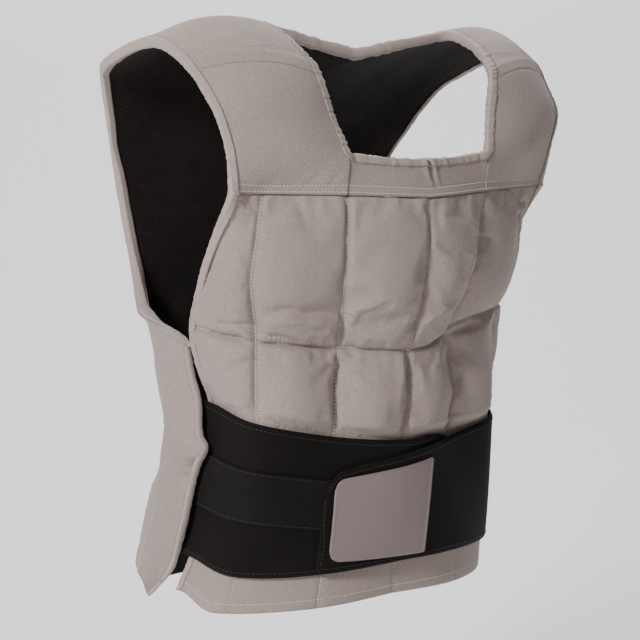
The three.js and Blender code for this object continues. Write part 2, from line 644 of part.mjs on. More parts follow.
function bindingRoll(stations, closed) {
  const path = stations.filter((s, i) => i === 0 || s.middle.distanceTo(stations[i - 1].middle) > bindingThickness);
  const count = path.length;
  const vertices = [];
  const indices = [];
  let inward = 0;
  path.slice(1).forEach((station, i) => {
    inward += beside(station, path[i], station).dot(station.inside.clone().sub(station.middle));
  });
  const turn = inward > 0 ? -1 : 1;
  path.forEach((station, i) => {
    const before = closed ? path[(i + count - 1) % count] : path[Math.max(i - 1, 0)];
    const after = closed ? path[(i + 1) % count] : path[Math.min(i + 1, count - 1)];
    const sideA = before === station ? beside(station, station, after) : beside(station, before, station);
    const sideB = after === station ? sideA : beside(station, station, after);
    const out = sideA.clone().add(sideB).normalize();
    out.multiplyScalar(turn / Math.max(out.dot(sideA), mitreLimit));
    for (let s = 0; s < bindingSides; s += 1) {
      const angle = (2 * Math.PI * (s + 0.5)) / bindingSides;
      const reach = pieceGap + (bindingThickness / 2) * (1 + Math.cos(angle));
      const p = station.middle.clone().addScaledVector(out, reach);
      p.addScaledVector(station.normal, (Math.sin(angle) * edgeThickness) / 2);
      vertices.push(...p.toArray());
    }
  });
  for (let i = 0; i < (closed ? count : count - 1); i += 1) {
    for (let s = 0; s < bindingSides; s += 1) {
      const next = (s + 1) % bindingSides;
      const here = i * bindingSides;
      const there = ((i + 1) % count) * bindingSides;
      indices.push(here + s, here + next, there + next, here + s, there + next, there + s);
    }
  }
  if (!closed) {
    const last = (count - 1) * bindingSides;
    for (let s = 1; s < bindingSides - 1; s += 1) {
      indices.push(0, s + 1, s, last, last + s, last + s + 1);
    }
  }
  return closedGeometry(vertices, indices);
}

const steps = (from, to) => Array.from({ length: Math.abs(to - from) + 1 }, (_, i) => from + i * Math.sign(to - from));
const frontEnd = frontGrid.length - 1;
const backEnd = backOuter.length - 1;
const lastFrontColumn = frontColumns.length - 1;
const outerStrapColumn = strapWidths.length - 1;

const leftEdge = [
  ...edgeStations(frontOuter, frontInner, steps(frontEnd, 0).map((i) => [i, lastFrontColumn, 0, -1])),
  ...edgeStations(leftStrap, leftStrapInner, steps(0, strapEnd).map((i) => [i, outerStrapColumn, 0, -1])),
  ...edgeStations(backOuter, backInner, steps(0, armholeRow).map((i) => [i, cornerColumn, 0, -1])),
  ...edgeStations(backOuter, backInner, steps(cornerColumn + 1, lastBackColumn).map((j) => [armholeRow, j, 1, 0])),
  ...edgeStations(backOuter, backInner, steps(armholeRow + 1, backEnd).map((i) => [i, lastBackColumn, 0, -1])),
];
const flip = (p) => point(-p.x, p.y, p.z);
const mirrorStations = (stations) =>
  stations.map((s) => ({ middle: flip(s.middle), normal: flip(s.normal), inside: flip(s.inside) }));
addPiece('armhole_binding_left', bindingRoll(leftEdge, false), bindingMaterial);
addPiece('armhole_binding_right', bindingRoll(mirrorStations(leftEdge), false), bindingMaterial);

const leftCollar = [
  ...edgeStations(leftStrap, leftStrapInner, steps(2, strapEnd).map((i) => [i, 0, 0, 1])),
  ...edgeStations(backOuter, backInner, steps(0, neckRow).map((i) => [i, neckColumn, 0, 1])),
];
const rightNeckColumn = backPlaces.indexOf(-0.5);
const backNeckCells = steps(neckColumn - 1, rightNeckColumn + 1).map((j) => [neckRow, j, 1, 0]);
const collar = [
  ...edgeStations(yokeRows, yokeInner, steps(0, lastYokeColumn).map((j) => [2, j, -1, 0])),
  ...leftCollar,
  ...edgeStations(backOuter, backInner, backNeckCells),
  ...mirrorStations(leftCollar).reverse(),
];
addPiece('neckline_binding', bindingRoll(collar, true), bindingMaterial);

export default vest;
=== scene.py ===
import math

import bmesh
import bpy
import numpy as np
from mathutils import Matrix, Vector


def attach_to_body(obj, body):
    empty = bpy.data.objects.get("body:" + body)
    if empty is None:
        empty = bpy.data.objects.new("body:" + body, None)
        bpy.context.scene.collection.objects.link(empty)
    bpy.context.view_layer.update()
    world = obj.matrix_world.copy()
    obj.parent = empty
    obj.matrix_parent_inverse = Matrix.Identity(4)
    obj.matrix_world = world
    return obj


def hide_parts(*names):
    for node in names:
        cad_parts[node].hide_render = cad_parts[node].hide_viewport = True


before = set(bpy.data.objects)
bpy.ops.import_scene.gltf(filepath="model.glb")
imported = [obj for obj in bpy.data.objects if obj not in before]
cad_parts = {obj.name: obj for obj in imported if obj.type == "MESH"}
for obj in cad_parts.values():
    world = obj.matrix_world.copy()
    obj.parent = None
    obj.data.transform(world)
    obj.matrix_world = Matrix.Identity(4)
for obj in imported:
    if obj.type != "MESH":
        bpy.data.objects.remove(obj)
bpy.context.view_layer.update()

# The forms below are in millimetres, with the origin level with the shoulders, +Z up and the
# wearer looking along -Y. A drop is a length down from the origin.
mm = 0.001
vestLength = 567.0
torsoBreadth = 340.0
torsoDepth = 290.0
shoulderBreadth = 460.0
collarBreadth = 228.0
necklineBreadth = 174.0
necklineDrop = 125.0
necklineDip = 6.0
crestInnerDrop = 3.0
crestOuterDrop = 21.0
edgeThickness = 7.0
beltThickness = 4.0
elasticThickness = 1.2
patchThickness = 2.0
pieceGap = 0.3
beltSlack = 1.1
layerSlack = 0.6
wingSlack = 3.6
liningThickness = 1.0

seams = {
    "chestDrop": 167.0, "chestLift": 7.0, "quiltDrop": 314.0, "quiltLift": 27.0, "quiltCurve": 1.5,
    "hemRise": 8.0, "hemCornerRise": 16.0, "hemCornerStart": 2.2,
}


def table(names, rows):
    # Named columns from rows of numbers.
    values = np.array(rows, float)
    return {name: values[:, i] for i, name in enumerate(names.split())}


frontTable = table(
    "drop x1 x2 x3 y0 y1 y2 y3",
    [
        [0.268, 0.5, 0.959, 1.147, -0.376, -0.324, -0.234, -0.228],
        [0.286, 0.506, 0.959, 1.141, -0.383, -0.328, -0.228, -0.217],
        [0.356, 0.506, 0.971, 1.129, -0.383, -0.324, -0.207, -0.1],
        [0.427, 0.494, 0.965, 1.112, -0.366, -0.303, -0.172, -0.007],
        [0.515, 0.435, 0.894, 1.094, -0.31, -0.234, -0.138, 0.066],
        [0.577, 0.412, 0.882, 1.041, -0.276, -0.203, -0.128, 0.072],
        [0.638, 0.429, 0.876, 0.944, -0.276, -0.207, -0.124, 0.083],
        [0.709, 0.424, 0.865, 0.924, -0.248, -0.19, -0.124, 0.076],
        [0.85, 0.459, 0.9, 0.971, -0.228, -0.183, -0.086, 0.11],
        [1.0, 0.524, 0.959, 1.065, -0.2, -0.179, -0.021, 0.22],
    ],
)
wingTable = table(
    "drop cx cy sx sy wx wy by",
    [
        [0.494, 0.976, 0.486, 1.094, 0.303, 1.082, 0.117, 0.603],
        [0.519, 0.929, 0.462, 1.082, 0.293, 1.076, 0.114, 0.607],
        [0.58, 0.9, 0.448, 1.059, 0.283, 1.047, 0.114, 0.597],
        [0.637, 0.876, 0.434, 1.047, 0.266, 1.035, 0.079, 0.59],
        [0.691, 0.859, 0.417, 1.035, 0.245, 1.029, 0.076, 0.579],
        [0.714, 0.853, 0.41, 1.029, 0.234, 1.029, 0.045, 0.572],
        [0.744, 0.859, 0.414, 1.041, 0.248, 1.041, 0.079, 0.576],
        [0.781, 0.882, 0.428, 1.065, 0.272, 1.059, 0.097, 0.586],
        [0.854, 0.929, 0.462, 1.1, 0.297, 1.088, 0.124, 0.6],
        [0.919, 0.971, 0.486, 1.124, 0.317, 1.088, 0.183, 0.617],
        [0.952, 0.988, 0.5, 1.135, 0.338, 1.1, 0.228, 0.624],
        [1.0, 1.006, 0.514, 1.124, 0.407, 1.094, 0.345, 0.634],
    ],
)
shoulderTable = table(
    "out d0 d2 d3 d4 y0 y2 y4",
    [
        [1.0, 0.071, 0.025, 0.013, 0.038, 0.166, 0.159, 0.162],
        [0.996, 0.116, 0.071, 0.052, 0.065, 0.328, 0.331, 0.338],
        [0.939, 0.176, 0.136, 0.106, 0.095, 0.441, 0.455, 0.428],
        [0.848, 0.242, 0.212, 0.189, 0.166, 0.524, 0.545, 0.514],
        [0.765, 0.321, 0.303, 0.282, 0.25, 0.579, 0.597, 0.579],
        [0.726, 0.409, 0.409, 0.406, 0.402, 0.6, 0.6, 0.538],
    ],
)
strapTable = table(
    "inRise outRise inX outX inY outY crown lean",
    [
        [0.2375, 0.284, 0, 0.24, -0.044, -0.06, 0.07, 5],
        [0.475, 0.532, 0.41, 0.56, 0.077, -0.03, 0.1, 15],
        [0.706, 0.723, 0.78, 0.68, 0.154, 0.25, 0.11, 38],
        [0.831, 0.816, 1, 0.79, 0.34, 0.4, 0.115, 55], [0.931, 0.9, 1.07, 0.88, 0.604, 0.59, 0.115, 72],
        [1, 1, 1, 1, 1, 1, 0.115, 88],
    ],
)
strapSeamRow = 3
backNeckline = {"drop": 24.0, "y": -1.0}
strapCrest = {"innerY": -4.0, "outerY": 5.0}
wing = {"slope": 18.0, "slopeEnd": 0.65, "roundness": 2.2}
rearKnots = [0.8, 0.9]

belt = {"drop": 362.0, "height": 152.0}
rightBeltTable = table(
    "at top bottom",
    [
        [-4.4, 0, 0.98], [-3, 0, 1], [-2, 0.1, 1.08], [-1, 0.217, 1.09], [0, 0.27, 1.05],
        [0.5, 0.273, 1.04], [0.65, 0.276, 1.0], [0.8, 0.283, 0.97], [0.95, 0.305, 0.92],
    ],
)
leftBeltTable = table(
    "at top bottom",
    [
        [-1.12, 0.62, 1.03], [-1.08, 0.54, 1.07], [-1.02, 0.485, 1.08], [-0.87, 0.43, 1.08],
        [0, 0.36, 1.065], [0.5, 0.332, 1.07], [1, 0.302, 1.075], [2, 0.228, 1.105], [3, 0.09, 1.055],
        [4.4, 0.03, 1.0],
    ],
)
elasticTable = table(
    "at top bottom",
    [
        [-3.15, 0.31, 0.665], [-2.85, 0.335, 0.68], [-2, 0.395, 0.73], [-1.2, 0.474, 0.8],
        [-0.95, 0.499, 0.822],
    ],
)
patchTable = table(
    "at top bottom",
    [
        [-1.0, 0.555, 0.93], [-0.98, 0.517, 0.968], [-0.95, 0.498, 0.987], [-0.9, 0.482, 1.003],
        [-0.83, 0.475, 1.01], [0.25, 0.415, 1.03], [0.38, 0.408, 1.03], [0.4, 0.42, 1.02],
    ],
)
wingPlaces = table("at t", [[3.4, 1.8], [3.9, 1.5], [4.4, 1.25]])
beltTurn = [2.25, 2.5, 2.75, 3.0]
overlap = {"end": 0.9, "run": 0.8}


def lerp(a, b, t):
    return a + (b - a) * t


def smooth(t, low, high):
    s = np.clip((np.asarray(t, float) - low) / (high - low), 0, 1)
    return s * s * (3 - 2 * s)


def bell(distance, width):
    return np.exp(-((distance / width) ** 2))


def unit(v):
    return v / np.maximum(np.linalg.norm(v, axis=-1, keepdims=True), 1e-9)


def through(knots, values, t):
    # Values on a smooth curve through the knots, with slopes from the neighbours.
    t = np.asarray(t, float)
    knots = np.asarray(knots, float)
    values = np.asarray(values, float)
    if values.ndim == 1:
        values = values.reshape((-1,) + (1,) * t.ndim) + np.zeros(t.shape)
    last = len(knots) - 1
    shape = (-1,) + (1,) * t.ndim
    slope = np.empty_like(values)
    slope[1:-1] = (values[2:] - values[:-2]) / (knots[2:] - knots[:-2]).reshape(shape)
    slope[0] = (values[1] - values[0]) / (knots[1] - knots[0])
    slope[-1] = (values[-1] - values[-2]) / (knots[-1] - knots[-2])
    i = np.clip(np.searchsorted(knots, t, side="left") - 1, 0, last - 1)
    span = knots[i + 1] - knots[i]
    s = (t - knots[i]) / span

    def take(array, j):
        return np.take_along_axis(array, j[None], 0)[0]

    a, b = take(values, i), take(values, i + 1)
    ma, mb = take(slope, i) * span, take(slope, i + 1) * span
    c = np.clip(s, 0, 1)
    c2, c3 = c * c, c**3
    inside = (2 * c3 - 3 * c2 + 1) * a + (c3 - 2 * c2 + c) * ma + (3 * c2 - 2 * c3) * b + (c3 - c2) * mb
    return inside + np.minimum(s, 0) * ma + np.maximum(s - 1, 0) * mb


def throughRows(control, r):
    # A grid through rows of points, at fractional rows r.
    shape = (len(r), control.shape[1])
    grid = np.empty((*shape, 3))
    for axis in range(3):
        values = np.broadcast_to(control[:, None, :, axis], (len(control), *shape))
        grid[:, :, axis] = through(np.arange(len(control)), values, np.broadcast_to(r[:, None], shape))
    return grid


def onLine(where, along, points):
    # Points of a line at places measured along it.
    return np.stack([np.interp(where, along, points[..., axis]) for axis in range(3)], -1)


def distancesAlong(points):
    return np.concatenate([[0], np.cumsum(np.linalg.norm(np.diff(points, axis=0), axis=-1))])


def joinedRuns(*runs):
    # Places in runs of (first, last, steps), with the ends that two runs share only once.
    parts = [np.linspace(first, last, steps + 1) for first, last, steps in runs]
    return np.concatenate([part[:-1] for part in parts[:-1]] + parts[-1:])


noiseCells = 61


def softNoise(x, y, seed):
    # Smooth noise from -1 to 1 with a cell of one unit.
    lattice = np.random.default_rng(seed).uniform(-1, 1, (noiseCells, noiseCells))
    xi, yi = np.floor(x).astype(int), np.floor(y).astype(int)
    fx, fy = x - xi, y - yi
    fx, fy = fx * fx * (3 - 2 * fx), fy * fy * (3 - 2 * fy)

    def at(a, b):
        return lattice[a % noiseCells, b % noiseCells]

    top = lerp(at(xi, yi), at(xi + 1, yi), fx)
    return lerp(top, lerp(at(xi, yi + 1), at(xi + 1, yi + 1), fx), fy)


def frontBase(k, drop):
    k, drop = np.broadcast_arrays(np.asarray(k, float), np.asarray(drop, float))
    share = drop / vestLength
    x = [through(frontTable["drop"], frontTable[f"x{c}"], share) * torsoBreadth / 2 for c in (1, 2, 3)]
    y = [through(frontTable["drop"], frontTable[f"y{c}"], share) * torsoDepth for c in (0, 1, 2, 3)]
    a = np.abs(k)
    px = through([-1, 0, 1, 2, 3], [-x[0], 0 * x[0], *x], a)
    py = through([-1, 0, 1, 2, 3], [y[1], *y], a)
    return np.stack([np.sign(k) * px, py, -drop], -1)


slopeStep = {"place": 0.05, "drop": 4.0}  # differences that slopes are taken over


def frontNormal(k, drop):
    along = frontBase(k + slopeStep["place"], drop) - frontBase(k - slopeStep["place"], drop)
    down = frontBase(k, drop + slopeStep["drop"]) - frontBase(k, drop - slopeStep["drop"])
    return unit(np.cross(down, along))


def chestSeam(k):
    fromEdge = 1 - np.minimum(np.abs(k), 3) / 3
    return seams["chestDrop"] - seams["chestLift"] * (1 - fromEdge**2)


quiltRise = table(
    "at rise",
    [
        [0.3, 0.0], [0.76, 11.1], [0.88, 15.2], [1.1, 15.5], [1.3, 16.3], [2.84, 16.3], [3.0, 18.3],
    ],
)


def quiltSeam(k):
    seam = seams["quiltDrop"] - seams["quiltLift"] * (np.abs(k) / 3) ** seams["quiltCurve"]
    return seam - through(quiltRise["at"], quiltRise["rise"], np.clip(k, quiltRise["at"][0], 3))


def frontHem(k):
    a = np.abs(k)
    corner = seams["hemCornerRise"] * smooth(a, seams["hemCornerStart"], 3)
    return vestLength - seams["hemRise"] * (1 - a / 3) - corner


def beltLine(rows, name, at):
    t = np.clip(at, rows["at"][0], rows["at"][-1])
    return belt["drop"] + belt["height"] * through(rows["at"], rows[name], t)


def strapPoint(row, w):
    # A strap's cross line: w is 0 on its inner line and 1 on its outer edge.
    r = {name: strapTable[name][row] for name in strapTable}
    chestInner = frontBase(1.0, chestSeam(1.0))
    chestOuter = frontBase(3.0, chestSeam(3.0))
    innerEnd = np.array([
        lerp(necklineBreadth / 2, collarBreadth / 2, r["inX"]),
        lerp(chestInner[1], strapCrest["innerY"], r["inY"]),
        lerp(chestInner[2], -crestInnerDrop, r["inRise"]),
    ])
    outerEnd = np.array([
        lerp(chestOuter[0], shoulderBreadth / 2, r["outX"]),
        lerp(chestOuter[1], strapCrest["outerY"], r["outY"]),
        lerp(chestOuter[2], -crestOuterDrop, r["outRise"]),
    ])
    lean = math.radians(r["lean"])
    w = np.asarray(w, float)[..., None]
    crown = r["crown"] * np.linalg.norm(outerEnd - innerEnd) * 4 * w * (1 - w)
    return lerp(innerEnd, outerEnd, w) + crown * np.array([0, -math.cos(lean), math.sin(lean)])


def wingSection(t, drop):
    # Section of the back's outer face: 0 in the middle, 1 at its corner, 2 at the wing's edge.
    t, drop = np.broadcast_arrays(np.asarray(t, float), np.asarray(drop, float))
    share = drop / vestLength
    value = {name: through(wingTable["drop"], wingTable[name], share) for name in wingTable if name != "drop"}
    half = torsoBreadth / 2
    cx, cy = value["cx"] * half, value["cy"] * torsoDepth
    depth = value["by"] * torsoDepth - cy
    a = np.abs(t)
    power = wing["roundness"]

    def rear(f):
        return f * cx, cy + depth * np.maximum(1 - f**power, 0) ** (1 / power)

    before = [rear(f) for f in rearKnots]
    rearX, rearY = rear(np.minimum(a, rearKnots[1]))
    knots = [*rearKnots, 1, 1.5, 2]
    sideX = through(knots, [before[0][0], before[1][0], cx, value["sx"] * half, value["wx"] * half], a)
    ys = [before[0][1], before[1][1], cy, value["sy"] * torsoDepth, value["wy"] * torsoDepth]
    sideY = through(knots, ys, a)
    behind = a <= rearKnots[1]
    return np.stack([np.sign(t) * np.where(behind, rearX, sideX), np.where(behind, rearY, sideY), -drop], -1)


def backControl(t):
    # Rows of the back's outer face from the shoulder seams to the hem, at places t.
    f = np.minimum(np.abs(t), 1)
    rows = []
    for row in range(strapSeamRow, 6):
        onStrap = strapPoint(row, np.maximum(f * 2 - 1, 0))
        end = strapPoint(row, 0.0)
        y = np.where(f >= 0.5, onStrap[:, 1], lerp(backNeckline["y"], end[1], f * 2))
        z = np.where(f >= 0.5, onStrap[:, 2], lerp(-backNeckline["drop"], end[2], f * 2))
        x = np.where(f >= 0.5, np.sign(t) * onStrap[:, 0], t * 2 * end[0])
        rows.append(np.stack([x, y, z], -1))
    for i in range(6):
        r = {name: shoulderTable[name][i] for name in shoulderTable}
        half = r["out"] * shoulderBreadth / 2
        drop = vestLength * through([-0.5, 0, 0.5, 0.75, 1], [r["d2"], r["d0"], r["d2"], r["d3"], r["d4"]], f)
        y = torsoDepth * through([-0.5, 0, 0.5, 1], [r["y2"], r["y0"], r["y2"], r["y4"]], f)
        rows.append(np.stack([np.sign(t) * half * f, y, -drop], -1))
    for share in wingTable["drop"]:
        level = 1 - smooth(share, wingTable["drop"][0], wing["slopeEnd"])
        slope = wing["slope"] * level * np.maximum(np.abs(t) - 1, 0) ** 2
        rows.append(wingSection(t, share * vestLength + slope))
    return np.array(rows)


neckRow = 2
armholeRow = 9
lastBackRow = 20


def backGrid(t, r):
    # Outer face of the back at places t and rows r, where the neck's row is the crest.
    return throughRows(backControl(t), r)


def beltPoint(s, drop, lift):
    # Outer face of the belt: on the front up to 3, and between the body and the wing past it.
    s, drop, lift = np.broadcast_arrays(*[np.asarray(value, float) for value in (s, drop, lift)])
    a = np.abs(s)

    def level(normal):
        flat = np.hypot(normal[..., 0], normal[..., 1])
        return np.stack([normal[..., 0], normal[..., 1], 0 * flat], -1) / flat[..., None], flat

    def onFront(k):
        out, flat = level(frontNormal(k, drop))
        return frontBase(k, drop) + out * ((1 + beltSlack + lift) / flat)[..., None]

    def onWing(t):
        along = wingSection(t + slopeStep["place"], drop) - wingSection(t - slopeStep["place"], drop)
        down = wingSection(t, drop + slopeStep["drop"]) - wingSection(t, drop - slopeStep["drop"])
        out, flat = level(unit(np.cross(along, down)))
        inset = edgeThickness + pieceGap + liningThickness + wingSlack + beltThickness - lift
        return wingSection(t, drop) - out * (inset / flat)[..., None]

    knots = [*beltTurn, *wingPlaces["at"]]
    line = [onFront(k + 0 * a) for k in beltTurn] + [onWing(t + 0 * a) for t in wingPlaces["t"]]
    front = onFront(np.minimum(a, beltTurn[1]))
    sideX = through(knots, [p[..., 0] for p in line], a)
    sideY = through(knots, [p[..., 1] for p in line], a)
    onBody = a <= beltTurn[1]
    x = np.where(onBody, front[..., 0], sideX)
    y = np.where(onBody, front[..., 1], sideY)
    return np.stack([np.where(s < 0, -1, 1) * x, y, -drop], -1)


# Grids, shells and stitches


def gridNormals(grid, centre=(0, 40, -290)):
    across = np.gradient(grid, axis=1)
    down = np.gradient(grid, axis=0)
    normals = unit(np.cross(across, down))
    i, j = grid.shape[0] // 2, grid.shape[1] // 3
    if np.dot(grid[i, j] - np.array(centre), normals[i, j]) < 0:
        normals = -normals
    return normals


def lengths(grid):
    # Distances from the first column and the first row, in millimetres.
    across = np.linalg.norm(np.diff(grid, axis=1), axis=-1)
    down = np.linalg.norm(np.diff(grid, axis=0), axis=-1)
    u = np.concatenate([np.zeros((grid.shape[0], 1)), np.cumsum(across, 1)], 1)
    v = np.concatenate([np.zeros((1, grid.shape[1])), np.cumsum(down, 0)], 0)
    return u - u[:, [grid.shape[1] // 2]], v


def linked(name, data):
    # An object in the scene that holds the data.
    made = bpy.data.objects.new(name, data)
    bpy.context.scene.collection.objects.link(made)
    return made


def meshPiece(name, points, faces, material, uv=None, grooveAndShade=None):
    # A smooth mesh object from points in millimetres.
    used = np.unique(np.concatenate([np.asarray(f).ravel() for f in faces]))
    number = np.full(len(points), -1)
    number[used] = np.arange(len(used))
    allFaces = [f for group in faces for f in number[np.asarray(group)].tolist()]
    mesh = bpy.data.meshes.new(name)
    mesh.from_pydata((points[used] * mm).tolist(), [], allFaces)
    mesh.polygons.foreach_set("use_smooth", np.ones(len(mesh.polygons), bool))
    if uv is not None:
        layer = mesh.uv_layers.new(name="cloth")
        corner = np.empty(len(mesh.loops), int)
        mesh.loops.foreach_get("vertex_index", corner)
        layer.data.foreach_set("uv", (uv[used][corner] * mm).astype(np.float32).ravel())
    if grooveAndShade is not None:
        attribute = mesh.attributes.new("grooveAndShade", "FLOAT", "POINT")
        attribute.data.foreach_set("value", grooveAndShade[used].astype(np.float32))
    mesh.update()
    piece = linked(name, mesh)
    mesh.materials.append(material)
    return piece


def outward(piece):
    work = bmesh.new()
    work.from_mesh(piece.data)
    bmesh.ops.recalc_face_normals(work, faces=work.faces)
    work.to_mesh(piece.data)
    work.free()
    return piece


def shell(name, outer, inner, material, keep=None, grooveAndShade=None):
    # A closed solid between two like grids. keep marks the cells that exist; the optional per-point values
    # darken the outer face's colour as painted shade.
    rows, cols = outer.shape[:2]
    cell = np.ones((rows - 1, cols - 1), bool) if keep is None else keep
    ids = np.arange(rows * cols).reshape(rows, cols)
    n = rows * cols
    a, b, c, d = ids[:-1, :-1], ids[:-1, 1:], ids[1:, 1:], ids[1:, :-1]
    faces = [
        np.stack([p[cell] for p in (a, b, c, d)], 1),
        np.stack([p[cell] + n for p in (a, d, c, b)], 1),
    ]
    pad = np.pad(cell, 1)
    around = [
        (pad[:-2, 1:-1], a, b),
        (pad[1:-1, 2:], b, c),
        (pad[2:, 1:-1], c, d),
        (pad[1:-1, :-2], d, a),
    ]
    for neighbour, p, q in around:
        edge = cell & ~neighbour
        faces.append(np.stack([q[edge], p[edge], p[edge] + n, q[edge] + n], 1))
    u, v = lengths(outer)
    uv = np.stack([u.ravel(), v.ravel()], -1)
    points = np.concatenate([outer.reshape(-1, 3), inner.reshape(-1, 3)])
    marks = np.zeros(n) if grooveAndShade is None else grooveAndShade.ravel()
    marks = np.concatenate([marks, np.zeros(n)])
    return outward(meshPiece(name, points, faces, material, np.concatenate([uv, uv]), marks))


def onGrid(grid, r, c):
    # A point of a grid at fractional rows and columns.
    rows, cols = grid.shape[:2]
    r, c = np.clip(r, 0, rows - 1.001), np.clip(c, 0, cols - 1.001)
    i, j = r.astype(int), c.astype(int)
    fr, fc = (r - i)[..., None], (c - j)[..., None]
    top = lerp(grid[i, j], grid[i, j + 1], fc)
    return lerp(top, lerp(grid[i + 1, j], grid[i + 1, j + 1], fc), fr)


def evenly(points, step):
    # Fractional indices that are a step apart along a line of points.
    along = distancesAlong(points)
    places = np.arange(step / 2, along[-1], step)
    return np.interp(places, along, np.arange(len(points))), along


stitch = {
    "length": 3.0, "pitch": 4.2, "width": 0.5, "lift": 0.25, "sides": 5,
    "rings": [(-1.0, 0.35), (-0.75, 1.0), (0.75, 1.0), (1.0, 0.35)],  # place along the stitch, share of width
    "endSink": 0.5, "flatness": 0.7,
}
stitchPitch = {"panel": 3.6, "strap": 3.4, "tape": 3.3, "belt": 4.2, "elastic": 3.8}


def stitchRow(points, normals, pitch, bold=1.0):
    # Small thread beads along a line, as vertex and face arrays.
    index, along = evenly(points, pitch)
    line = np.arange(len(points))
    reach = stitch["length"] * pitch / stitch["pitch"] / 2
    rings, sides = stitch["rings"], stitch["sides"]
    at = np.interp(index, line, along)
    vertices = []
    for place, size in rings:
        where = np.interp(at + place * reach, along, line)
        p = onLine(where, line, points)
        n = unit(onLine(where, line, normals))
        ahead = np.interp(at + place * reach + 0.5, along, line)
        back = np.interp(at + place * reach - 0.5, along, line)
        side = unit(np.cross(unit(onLine(ahead, line, points) - onLine(back, line, points)), n))
        sink = stitch["lift"] - (stitch["endSink"] if abs(place) == 1 else 0)
        for s in range(sides):
            angle = 2 * math.pi * s / sides
            r = stitch["width"] * size * bold
            height = r * stitch["flatness"] * math.sin(angle) + sink
            vertices.append(p + side * (r * math.cos(angle)) + n * height)
    count = len(index)
    vertices = np.stack(vertices, 1).reshape(-1, 3)
    base = (np.arange(count) * len(rings) * sides)[:, None]
    faces = []
    for ring in range(len(rings) - 1):
        for s in range(sides):
            here, there = ring * sides, (ring + 1) * sides
            n = (s + 1) % sides
            faces.append(base + np.array([here + s, here + n, there + n, there + s]))
    caps = [base + np.arange(sides)[::-1], base + (len(rings) - 1) * sides + np.arange(sides)]
    return vertices, np.concatenate(faces), np.concatenate(caps)


def attach(piece, cadNode):
    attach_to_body(piece, "root")
    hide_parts(cadNode)
    return piece


def stitches(name, rows, material):
    # One piece from several stitch rows.
    points, quads, caps, start = [], [], [], 0
    for v, q, c in rows:
        points.append(v)
        quads.append(q + start)
        caps.append(c + start)
        start += len(v)
    piece = meshPiece(name, np.concatenate(points), [np.concatenate(quads), np.concatenate(caps)], material)
    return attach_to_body(outward(piece), "root")


# Materials


def node(tree, kind, inputs=None, **settings):
    made = tree.nodes.new("ShaderNode" + kind)
    for key, value in settings.items():
        setattr(made, key, value)
    for key, value in (inputs or {}).items():
        if isinstance(value, bpy.types.NodeSocket):
            tree.links.new(value, made.inputs[key])
        else:
            made.inputs[key].default_value = value
    return made


def ramp(tree, factor, stops):
    made = node(tree, "ValToRGB", {"Fac": factor})
    elements = made.color_ramp.elements
    while len(elements) < len(stops):
        elements.new(0.5)
    for element, (place, colour) in zip(elements, stops):
        element.position = place
        element.color = (*colour, 1)
    return made.outputs["Color"]


def mix(tree, a, b, factor, blend="MIX"):
    made = node(tree, "Mix", data_type="RGBA", blend_type=blend)
    for key, value in ((0, factor), (6, a), (7, b)):
        if isinstance(value, bpy.types.NodeSocket):
            tree.links.new(value, made.inputs[key])
        else:
            made.inputs[key].default_value = (*value, 1) if isinstance(value, tuple) else value
    return made.outputs[2]


def newMaterial(name, roughness):
    material = bpy.data.materials.new(name)
    material.use_nodes = True
    tree = material.node_tree
    shader = tree.nodes["Principled BSDF"]
    shader.inputs["Roughness"].default_value = roughness
    return material, tree, shader


bandWidth = 0.314  # of a wave texture of scale 1


def clothMaterial(name, look):
    # Woven cloth: twill lines, slubs, soft tone changes and painted shade along the seam grooves.
    material, tree, shader = newMaterial(name, look["roughness"])
    shader.inputs["Sheen Weight"].default_value = look["sheen"]
    shader.inputs["Sheen Roughness"].default_value = 0.5
    shader.inputs["Specular IOR Level"].default_value = look["specular"]
    coordinate = node(tree, "TexCoord")
    turned = node(tree, "Mapping", {"Vector": coordinate.outputs["UV"], "Rotation": (0, 0, look["angle"])})
    twill = node(
        tree,
        "TexWave",
        {"Vector": turned.outputs["Vector"], "Scale": bandWidth / look["pitch"], "Distortion": 0.6,
         "Detail": 1.0, "Detail Scale": 1.5},
        wave_type="BANDS",
        bands_direction="X",
    )
    longer = node(tree, "Mapping", {"Vector": turned.outputs["Vector"], "Scale": (1, look["slubStretch"], 1)})
    slub = node(tree, "TexNoise", {"Vector": longer.outputs["Vector"], "Scale": look["slub"], "Detail": 3.0})
    place = coordinate.outputs["Object"]
    tone = node(tree, "TexNoise", {"Vector": place, "Scale": look["tone"], "Detail": 4.0})
    shade = ramp(tree, tone.outputs["Fac"], [(0.3, look["dark"]), (0.7, look["light"])])
    fleck = ramp(tree, slub.outputs["Fac"], [(0.35, (look["fleck"],) * 3), (0.65, (1, 1, 1))])
    shade = mix(tree, shade, fleck, 1.0, "MULTIPLY")
    lines = ramp(tree, twill.outputs["Fac"], [(0.0, (look["line"],) * 3), (0.6, (1, 1, 1))])
    shade = mix(tree, shade, lines, 1.0, "MULTIPLY")
    # Painted shade: a point attribute mixes the colour towards the dark groove colour along seam grooves.
    grooveAndShade = node(tree, "Attribute", attribute_name="grooveAndShade")
    shade = mix(tree, shade, look["grooveShadeColour"], grooveAndShade.outputs["Fac"])
    tree.links.new(shade, shader.inputs["Base Color"])
    weave = node(
        tree, "Bump", {"Height": twill.outputs["Fac"], "Distance": look["weaveDepth"], "Strength": 0.6}
    )
    crumple = node(
        tree,
        "Bump",
        {"Height": slub.outputs["Fac"], "Distance": look["slubDepth"], "Strength": 0.6,
         "Normal": weave.outputs["Normal"]},
    )
    tree.links.new(crumple.outputs["Normal"], shader.inputs["Normal"])
    return material
